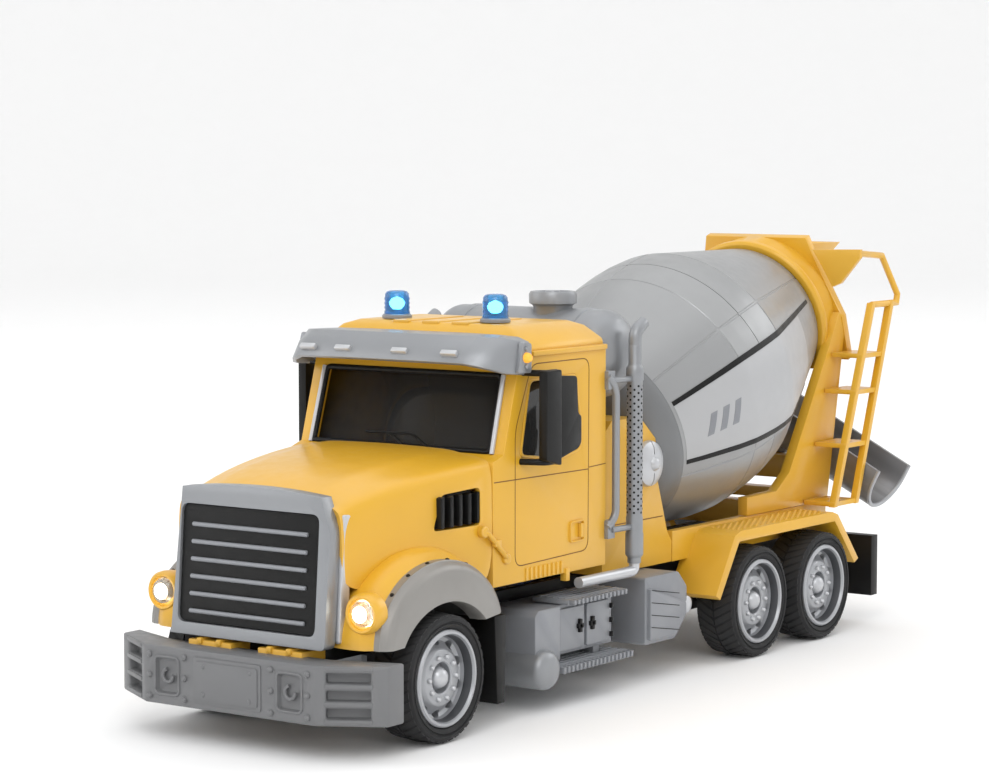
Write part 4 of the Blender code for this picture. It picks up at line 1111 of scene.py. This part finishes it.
DRUM_WALL = 2
SEAM_RINGS = (46.5, 75.5)
SEAM_ANGLES = tuple(range(22, 382, 60))
DRUM_OUTLINE = ((11, 37.5), (20, 41), (28, 43.6), (37, 46.4), (46.5, 48.5), (54, 49), (61, 49.2),
                (68, 49), (75.5, 48.2), (102, 39.4), (128.5, 30.6))


def drum_radius(s):
    """The drum's outside radius at a distance along its axis."""
    for (a, low), (b, high) in zip(DRUM_OUTLINE, DRUM_OUTLINE[1:]):
        if s <= b:
            return low + (high - low) * (s - a) / (b - a)
    return DRUM_OUTLINE[-1][1]


def drum_stations(start, end):
    """Distances along the axis, closer together at a ring seam."""
    spots = {start, end}
    spots |= {start + (end - start) * i / 14 for i in range(15)}
    spots |= {s for s, _ in DRUM_OUTLINE if start < s < end}
    for ring in SEAM_RINGS:
        spots |= {ring + step for step in (-0.55, -0.25, 0.25, 0.55)}
    return sorted(s for s in spots if start <= s <= end)


def drum_angles():
    spots = {float(a) for a in range(0, 360, 2)}
    for seam in SEAM_ANGLES:
        spots |= {(seam + step) % 360 for step in (-0.75, -0.35, 0.35, 0.75)}
    return sorted(spots)


def in_seam(s, angle):
    if any(abs(s - ring) < 0.3 for ring in SEAM_RINGS):
        return True
    return any(abs((angle - seam + 180) % 360 - 180) < 0.4 for seam in SEAM_ANGLES)


def drum_skin(start, end, extra=()):
    """A closed drum wall with shallow seams."""
    bm = bmesh.new()
    angles = drum_angles()
    rings = []
    stations = drum_stations(start, end)
    outer = [(s, drum_radius(s), True) for s in stations]
    outer += [(s, radius, False) for radius, s in extra]
    inner = [(s, radius - DRUM_WALL, False) for radius, s in reversed(extra)]
    inner += [(s, drum_radius(s) - DRUM_WALL, False) for s in (end, start)]
    for s, radius, seams_on in outer + inner:
        ring = []
        for angle in angles:
            depth = 0.28 if seams_on and in_seam(s, angle) else 0
            turn = math.radians(angle)
            deep = radius - depth
            ring.append(bm.verts.new((deep * math.cos(turn), deep * math.sin(turn), s)))
        rings.append(ring)
    join_rings(bm, rings + rings[:1])
    bm.transform(DRUM)
    return bm


def drum():
    dome = bmesh.new()
    pole = -9
    curve = [(37.5 * math.sin(0.5 * math.pi * i / 20), 11 - 20 * math.cos(0.5 * math.pi * i / 20))
             for i in range(21)]
    curve[0] = (0, pole)
    inner = [(max(0, radius - 2), s + 1.6) for radius, s in reversed(curve)]
    inner[-1] = (0, pole + 2)
    add_turned(dome, curve + inner, DRUM, 120)
    add_rod(dome, DRUM @ Vector((0, 0, -30)), DRUM @ Vector((0, 0, pole + 1)), 3)
    piece("drum_front_dome", dome, "drum_dome", "drum", replaces=("drum_front_shell",))
    piece("drum_middle_skin", drum_skin(11.1, 60.85), "drum", "drum")
    lip = [(27.6, 130.6), (27.2, 139)]
    piece("drum_rear_skin", drum_skin(61.15, 128.5, lip), "drum", "drum", replaces=("drum_rear_shell",))
    drum_stripes()
    drum_fins()


def on_path(path, share):
    """The (distance, angle) at a share of the way along a line."""
    legs = len(path) - 1
    i = min(int(share * legs), legs - 1)
    part = share * legs - i
    return [a + (b - a) * part for a, b in zip(path[i], path[i + 1])]


def drum_patch(name, look, path_low, path_high, lift):
    """A thin band between two lines of (distance, angle up from the drum's left side)."""
    steps = 60
    across = 8
    bm = bmesh.new()
    layers = []
    for depth in (lift, -0.3):
        grid = []
        for i in range(steps + 1):
            a = on_path(path_low, i / steps)
            b = on_path(path_high, i / steps)
            row = []
            for j in range(across + 1):
                s = a[0] + (b[0] - a[0]) * j / across
                turn = math.radians(180 - (a[1] + (b[1] - a[1]) * j / across))
                radius = drum_radius(s) + depth
                row.append(bm.verts.new((radius * math.cos(turn), radius * math.sin(turn), s)))
            grid.append(row)
        layers.append(grid)
    top, under = layers
    for i in range(steps):
        for j in range(across):
            bm.faces.new((top[i][j], top[i + 1][j], top[i + 1][j + 1], top[i][j + 1]))
            bm.faces.new((under[i][j], under[i][j + 1], under[i + 1][j + 1], under[i + 1][j]))
    rim = [(i, 0) for i in range(steps)] + [(steps, j) for j in range(across)]
    rim += [(i, across) for i in range(steps, 0, -1)] + [(0, j) for j in range(across, 0, -1)]
    for (i, j), (m, n) in zip(rim, rim[1:] + rim[:1]):
        bm.faces.new((top[i][j], under[i][j], under[m][n], top[m][n]))
    bm.transform(DRUM)
    piece(name, bm, look, "drum")


STRIPE_TOP = ((12.5, 21.5), (46.5, 21.8), (75, 21), (124, 20))
STRIPE_LOW = ((12.5, -13.5), (46.5, -17), (75, -21), (106, -26))


def shifted(path, degrees):
    return [(s, angle + degrees) for s, angle in path]


def drum_stripes():
    """Two dark stripes with a lighter panel between them, and plain marks on it."""
    light_low = shifted(STRIPE_LOW, 1.4)
    light_high = [(min(s, end), a - 1.4) for (s, a), end in zip(STRIPE_TOP, (12.5, 46.5, 75, 106))]
    drum_patch("drum_light_panel", "drum_light", light_low, light_high, 0.12)
    for name, path in (("top", STRIPE_TOP), ("low", STRIPE_LOW)):
        drum_patch("drum_stripe_" + name, "black", shifted(path, -1.3), shifted(path, 1.3), 0.22)
    for i in range(3):
        start = 22 + 6 * i
        low = [(start, -3.5), (start + 3, -3.5)]
        high = [(start + 3.5, 7), (start + 6.5, 7)]
        drum_patch("drum_mark_%d" % (i + 1), "step_grey", low, high, 0.22)


def drum_fins():
    """The two spiral blades seen inside the drum's mouth."""
    for number in range(2):
        bm = bmesh.new()
        rows = []
        for i in range(81):
            s = 70 + 64 * i / 80
            turn = math.pi * number + 2 * math.pi * i / 80 * 1.4
            edge = min(drum_radius(s), 29.2) - 2.2 if s > 110 else drum_radius(s) - 2.2
            rows.append((s, turn, edge, max(edge - 9, 10)))
        layers = []
        for shift in (-0.5, 0.5):
            layer = []
            for s, turn, edge, low in rows:
                x, y = math.cos(turn), math.sin(turn)
                layer.append([bm.verts.new((r * x, r * y, s + shift)) for r in (edge, low)])
            layers.append(layer)
        front, back = layers
        for i in range(80):
            bm.faces.new((front[i][0], front[i + 1][0], front[i + 1][1], front[i][1]))
            bm.faces.new((back[i][0], back[i][1], back[i + 1][1], back[i + 1][0]))
            bm.faces.new((front[i][0], back[i][0], back[i + 1][0], front[i + 1][0]))
            bm.faces.new((front[i][1], front[i + 1][1], back[i + 1][1], back[i][1]))
        for i in (0, 80):
            bm.faces.new((front[i][0], front[i][1], back[i][1], back[i][0]))
        bm.transform(DRUM)
        piece("drum_blade_%d" % (number + 1), bm, "drum", "drum")


# ---------------------------------------------------------------- pedestal, rear bodywork

def carried(node, look, bevel=0.5):
    """A CAD node whose shape is right, with softened edges and a finish."""
    obj = frame["nodes"][node]
    weld = obj.modifiers.new("weld", "WELD")
    weld.merge_threshold = 0.00001
    flat = obj.modifiers.new("flat faces", "DECIMATE")
    flat.decimate_type = "DISSOLVE"
    flat.angle_limit = math.radians(1)
    if bevel > 0:
        soften(obj, bevel)
    obj.data.materials.clear()
    obj.data.materials.append(FINISHES[look][0])
    smooth(obj)


def pedestal():
    carried("drum_pedestal", "yellow", 0.7)
    for side in SIDES:
        disc = bmesh.new()
        seat = along((side * 33.2, 13.8, 76), (side, 0, 0))
        add_turned(disc, [(0, -0.5), (8.2, -0.5), (8.4, 0.6), (8, 1.9), (6, 3), (2.6, 3.4), (2, 4.4),
                          (1.2, 5), (0, 5.2)], seat)
        slots = bmesh.new()
        for angle in (90, 270):
            turn = Matrix.Rotation(math.radians(angle), 4, "Z")
            add_box(slots, (3.4, -0.25, 1.4), (8.6, 0.25, 4), seat @ turn)
        piece("pedestal_disc_" + side_name(side), disc, "bright", cuts=[slots])
        line = bmesh.new()
        low, high = span(side, 32.7, 33.06)
        add_box(line, (low, -14, 55.6), (high, 24.8, 56))
        piece("pedestal_line_" + side_name(side), line, "seam")


def rear_deck():
    carried("rear_deck", "yellow", 0.8)
    for side in SIDES:
        plate = bmesh.new()
        low, high = span(side, 35, 48)
        for i in range(30):
            for j in range(6):
                y = 54.6 + 2.2 * i
                x = low + 1.1 + 2.16 * j + (1.08 if i % 2 else 0)
                if x < high - 0.6:
                    add_turned(plate, [(0, 0.45), (0.45, 0.4), (0.8, 0), (0.8, -0.4), (0, -0.4)],
                               Matrix.Translation((x, y, DECK_TOP)), 6)
        piece("deck_studs_" + side_name(side), plate, "yellow")


def rear_frame():
    carried("rear_frame", "yellow", 0.5)
    ring = [(29.2, 130.4), (31.6, 130.4), (32.6, 131.4), (32.6, 133.2), (31.8, 134), (29.2, 134)]
    collar = made(add_turned, ring, DRUM, 96)
    discharge = made(add_prism, rectangle((-29.5, -60), (29.5, -20.5)), "Z", 120, 150, DRUM)
    piece("collar_ring", collar, "yellow", bevel=0.2, cuts=[discharge])


def chute():
    """The U-shaped trough with a rolled rim, on its pivot boss."""
    joint = JOINTS["chute_swivel"]
    pivot_y = joint["pos_m"][1] / MM
    slope = math.radians(27.5)
    seat = Matrix.Translation((0, pivot_y, 84.5)) @ Matrix.Rotation(slope, 4, "Y")
    turn = Matrix(((0, 0, 1, 0), (1, 0, 0, 0), (0, 1, 0, 0), (0, 0, 0, 1)))
    inner_r, outer_r, rim = 12, 13.5, 4.5
    outline = [(-outer_r, rim)] + arc((0, 0), (outer_r, outer_r), 180, 360, 48) + [(outer_r, rim)]
    outline += [(inner_r, rim)] + arc((0, 0), (inner_r, inner_r), 360, 180, 48) + [(-inner_r, rim)]
    bm = bmesh.new()
    add_prism(bm, outline, "Z", -2, 58, seat @ turn)
    cut = bmesh.new()
    add_box(cut, (-30, pivot_y - 20, 60), (-0.5, pivot_y + 20, 110))
    pin_holes = [bmesh.new(), bmesh.new()]
    for hole in pin_holes:
        add_rod(hole, (0, pivot_y, 60), (0, pivot_y, 69.2), 2.3, 32)
    piece("chute_trough", bm, "chute", "discharge_chute", ("chute",), bevel=0.4, cuts=[cut, pin_holes[0]])
    trim = bmesh.new()
    ends = [seat @ turn @ Vector((x, y, 57.6)) for x, y in
            [(-12.75, rim)] + arc((0, 0), (12.75, 12.75), 180, 360, 40) + [(12.75, rim)]]
    add_tube(trim, ends, 0.85, 12, 0.3)
    piece("chute_mouth_rim", trim, "rim", "discharge_chute")
    boss = bmesh.new()
    add_rod(boss, (0, pivot_y, 65.4), (0, pivot_y, 71.6), 4.6, 40, 0.4)
    piece("chute_boss", boss, "chute", "discharge_chute", cuts=[pin_holes[1]])


# ---------------------------------------------------------------- wheels

LUGS = 40
HUB = along((0, 0, 0), OUTWARD)      # an axle's line at the origin


def tyre_mesh():
    """A left tyre at the origin with rounded shoulders and chevron lugs."""
    x_in, x_out = 35, 51
    bm = bmesh.new()
    profile = [(16, 36.2), (17.2, x_in), (19.2, x_in), (20.1, x_in + 0.8), (20.45, x_in + 2.2), (20.5, 43),
               (20.45, x_out - 2.2), (20.1, x_out - 0.8), (19.2, x_out), (18.4, x_out + 0.05),
               (18.2, x_out - 0.35), (17.7, x_out - 0.35), (17.5, x_out), (16.4, x_out - 0.4), (16, 50.2)]
    add_turned(bm, profile, HUB, 120)
    for i in range(LUGS):
        angle = 2 * math.pi * i / LUGS
        for sign, x_low, x_high in ((1, x_in + 0.7, 42.7), (-1, 43.3, x_out - 0.7)):
            lean = 0.105 * sign
            points = []
            for x in (x_low, x_high):
                shift = lean * (x - 43) / 4
                for half in (-0.055, 0.055):
                    for radius in (19.9, WHEEL_R - 0.02):
                        edge = 0.6 if x in (x_in + 0.7, x_out - 0.7) and radius > 20 else 0
                        a = angle + shift + half
                        points.append((x, (radius - edge) * math.cos(a), (radius - edge) * math.sin(a)))
            add_hull(bm, points)
    return bm


def rim_mesh():
    bm = bmesh.new()
    profile = [(1.8, 42.4), (4, 42.4), (6, 43), (13.7, 43.6), (14, 35.6), (15.7, 35.6), (15.7, 50.5),
               (15.2, 51.1), (14.4, 51.1), (14, 50.4), (13.6, 48), (13, 46.2), (11.9, 45.6), (9.9, 47.2),
               (9.2, 48.2), (8.6, 48.5), (5.4, 48.5), (5, 48.1), (4.8, 45.2), (1.8, 45.2)]
    add_turned(bm, profile, HUB, 100)
    holes = bmesh.new()
    for i in range(10):
        angle = 2 * math.pi * (i + 0.5) / 10
        placement = HUB @ Matrix.Rotation(angle, 4, "Z") @ Matrix.Translation((11.8, 0, 0))
        outline = arc((0, 0), (1.4, 1.75), 0, 345, 23)
        add_prism(holes, outline, "Z", 40, 52, placement)
    return bm, holes


def rim_channel():
    """The dark band between the wheel disc and its outer ring: painted shade on the recessed wall."""
    bm = bmesh.new()
    channel = [(13.3, 46.9), (13.6, 48.4), (13.95, 50.3), (14.1, 50.1), (13.8, 47.6), (13.5, 46.4)]
    add_turned(bm, channel, HUB, 100)
    return bm


def rim_details():
    """Ten nuts and a hub cap, a hollow dome that stands clear of the axle's end."""
    bm = bmesh.new()
    for i in range(10):
        angle = 2 * math.pi * i / 10
        placement = HUB @ Matrix.Rotation(angle, 4, "Z") @ Matrix.Translation((7, 0, 48.3))
        add_turned(bm, [(0, 1.3), (0.5, 1.2), (0.85, 0.8), (0.9, -0.3), (0, -0.3)], placement, 12)
    outside = [(0, 50.2), (1.4, 49.9), (2.6, 49.1), (3.4, 47.8), (3.7, 46.2), (3.7, 44.9)]
    inside = [(3.2, 44.9), (3.2, 46.4), (2.9, 47.8), (2.3, 48.8), (0, 49.6)]
    add_turned(bm, outside + inside, HUB, 48)
    return bm


def wheels():
    first = {}
    for place, y in (("front", FRONT_Y), ("mid", MID_Y), ("rear", REAR_Y)):
        for side in ("left", "right"):
            body = "front_%s_wheel" % side if place == "front" else place + "_wheels"
            there = Matrix.Translation((0, y, WHEEL_R))
            if side == "right":
                there = there @ MIRROR
            names = {kind: "%s_%s_%s" % (kind, place, side) for kind in ("tyre", "rim")}
            if not first:
                disc, holes = rim_mesh()
                parts = (
                    ("tread_", "tyre", tyre_mesh(), "tyre", []), ("disc_", "rim", disc, "rim", [holes]),
                    ("channel_", "rim", rim_channel(), "rim_channel_shade", []),
                    ("nuts_", "rim", rim_details(), "bright", []),
                )
                for stem, kind, bm, look, cuts in parts:
                    for mesh in (bm, *cuts):
                        mesh.transform(there)
                    covers = (names[kind],) if stem in ("tread_", "disc_") else ()
                    first[stem] = (piece(stem + names[kind], bm, look, body, covers, cuts=cuts), kind)
                back = there.inverted()
                continue
            for stem, (obj, kind) in first.items():
                covers = (names[kind],) if stem in ("tread_", "disc_") else ()
                copy_of(obj, stem + names[kind], there @ back, body, covers)


# ---------------------------------------------------------------- CAD nodes that keep their shape

CARRIED = {
    "chassis_frame": ("black", 0.4), "arch_liner": ("black", 0.5), "cab_interior": ("black", 0.8),
    "cab_glazing": ("glass", 0), "hopper": ("yellow", 0.4), "ladder": ("yellow", 0.45),
    "battery_door": ("black", 0.3), "battery_pack": ("wrap", 0.5), "circuit_board": ("green", 0),
    "steering_motor": ("black", 0.5), "power_switch": ("black", 0.3), "tie_rod": ("black", 0.2),
    "knuckle_left": ("black", 0.2), "knuckle_right": ("black", 0.2), "drive_motor": ("steel", 0.2),
    "drum_motor": ("steel", 0.2), "axle_mid": ("steel", 0.2), "axle_rear": ("steel", 0.2),
    "axle_gear": ("nylon", 0), "motor_pinion": ("nylon", 0), "drum_gear": ("nylon", 0),
    "drum_pinion": ("nylon", 0),
}


# ---------------------------------------------------------------- floor, lights and camera

CAMERA_AZIMUTH = math.radians(35.57)
CAMERA_HEIGHT = math.radians(4.84)
CAMERA_DISTANCE = 1.0637
CAMERA_TARGET = Vector((-0.0181, -0.0088, 0.1008))
CAMERA_LENS = 106.6


def floor():
    """A pale disc that curves up far away, so that no horizon shows."""
    flat, bend = 3000, 1200
    profile = [(0, 0), (flat, 0)]
    for k in range(1, 13):
        a = math.pi / 2 * k / 12
        profile.append((flat + bend * math.sin(a), bend - bend * math.cos(a)))
    profile.append((flat + bend, 3200))
    obj = raw_object("floor", made(add_turned, profile, None, 96))
    obj.data.materials.append(finish("floor_paper", (0.96, 0.96, 0.96), 0.8, vary=0.004, **PAINTED))
    obj.data.shade_smooth()


def area_light(name, place, aim, size, power):
    data = bpy.data.lights.new(name, "AREA")
    data.shape = "RECTANGLE"
    data.size = size[0]
    data.size_y = size[1]
    data.energy = power
    obj = linked(name, data)
    obj.location = place
    obj.rotation_euler = (Vector(aim) - Vector(place)).to_track_quat("-Z", "Y").to_euler()


def lights():
    target = (0, 0, 0.06)
    area_light("key", (0.9, -1.5, 1.5), target, (1.2, 1.2), 12)
    area_light("fill", (-1.6, -1.1, 0.9), target, (1.4, 1), 4.5)
    area_light("top", (0, 0.3, 2), target, (2.4, 2.4), 9)
    area_light("rear", (0.9, 1.7, 1.1), target, (1.2, 0.8), 5)
    world = bpy.data.worlds.new("studio")
    world.use_nodes = True
    world.node_tree.nodes["Background"].inputs["Color"].default_value = (1, 1, 1, 1)
    world.node_tree.nodes["Background"].inputs["Strength"].default_value = 0.94
    bpy.context.scene.world = world
    bpy.context.scene.view_settings.view_transform = "Standard"


def camera():
    data = bpy.data.cameras.new("camera")
    data.lens = CAMERA_LENS
    data.clip_start = 0.01
    data.clip_end = 50
    obj = linked("camera", data)
    flat = math.cos(CAMERA_HEIGHT)
    back = Vector((math.sin(CAMERA_AZIMUTH) * flat, -math.cos(CAMERA_AZIMUTH) * flat,
                   math.sin(CAMERA_HEIGHT)))
    obj.location = CAMERA_TARGET + back * CAMERA_DISTANCE
    obj.rotation_euler = (-back).to_track_quat("-Z", "Y").to_euler()
    bpy.context.scene.camera = obj


PAIRS = (
    ("arch_cover", front_arch, ""), ("headlamp", headlamp, "headlight"),
    ("flare_trim", flare, "fender_flare"),
    ("beacon_lens", beacon, "beacon"), ("mirror_housing", mirror, "mirror"),
    ("stack_pipe", exhaust, "exhaust_stack"), ("tool_box", tool_box, "running_board"),
)
ON_EACH_SIDE = (
    lamp_details, flare_rivets, hood_vents, hood_latches, seams, handles, window_trims, rocker,
    beacon_details, exhaust_details, tool_box_doors, treads, air_tanks,
)
ONCE = (
    camera, lights, floor, hood, grille, bumper, cab, screen_trims, roof, visor, tank, drum, pedestal,
    rear_deck, rear_frame, chute, wheels,
)


def build():
    for make in ONCE:
        make()
    for stem, make, node in PAIRS:
        both(stem, make, node)
    for side in SIDES:
        for make in ON_EACH_SIDE:
            make(side)
    for node, (look, bevel) in CARRIED.items():
        carried(node, look, bevel)


build()
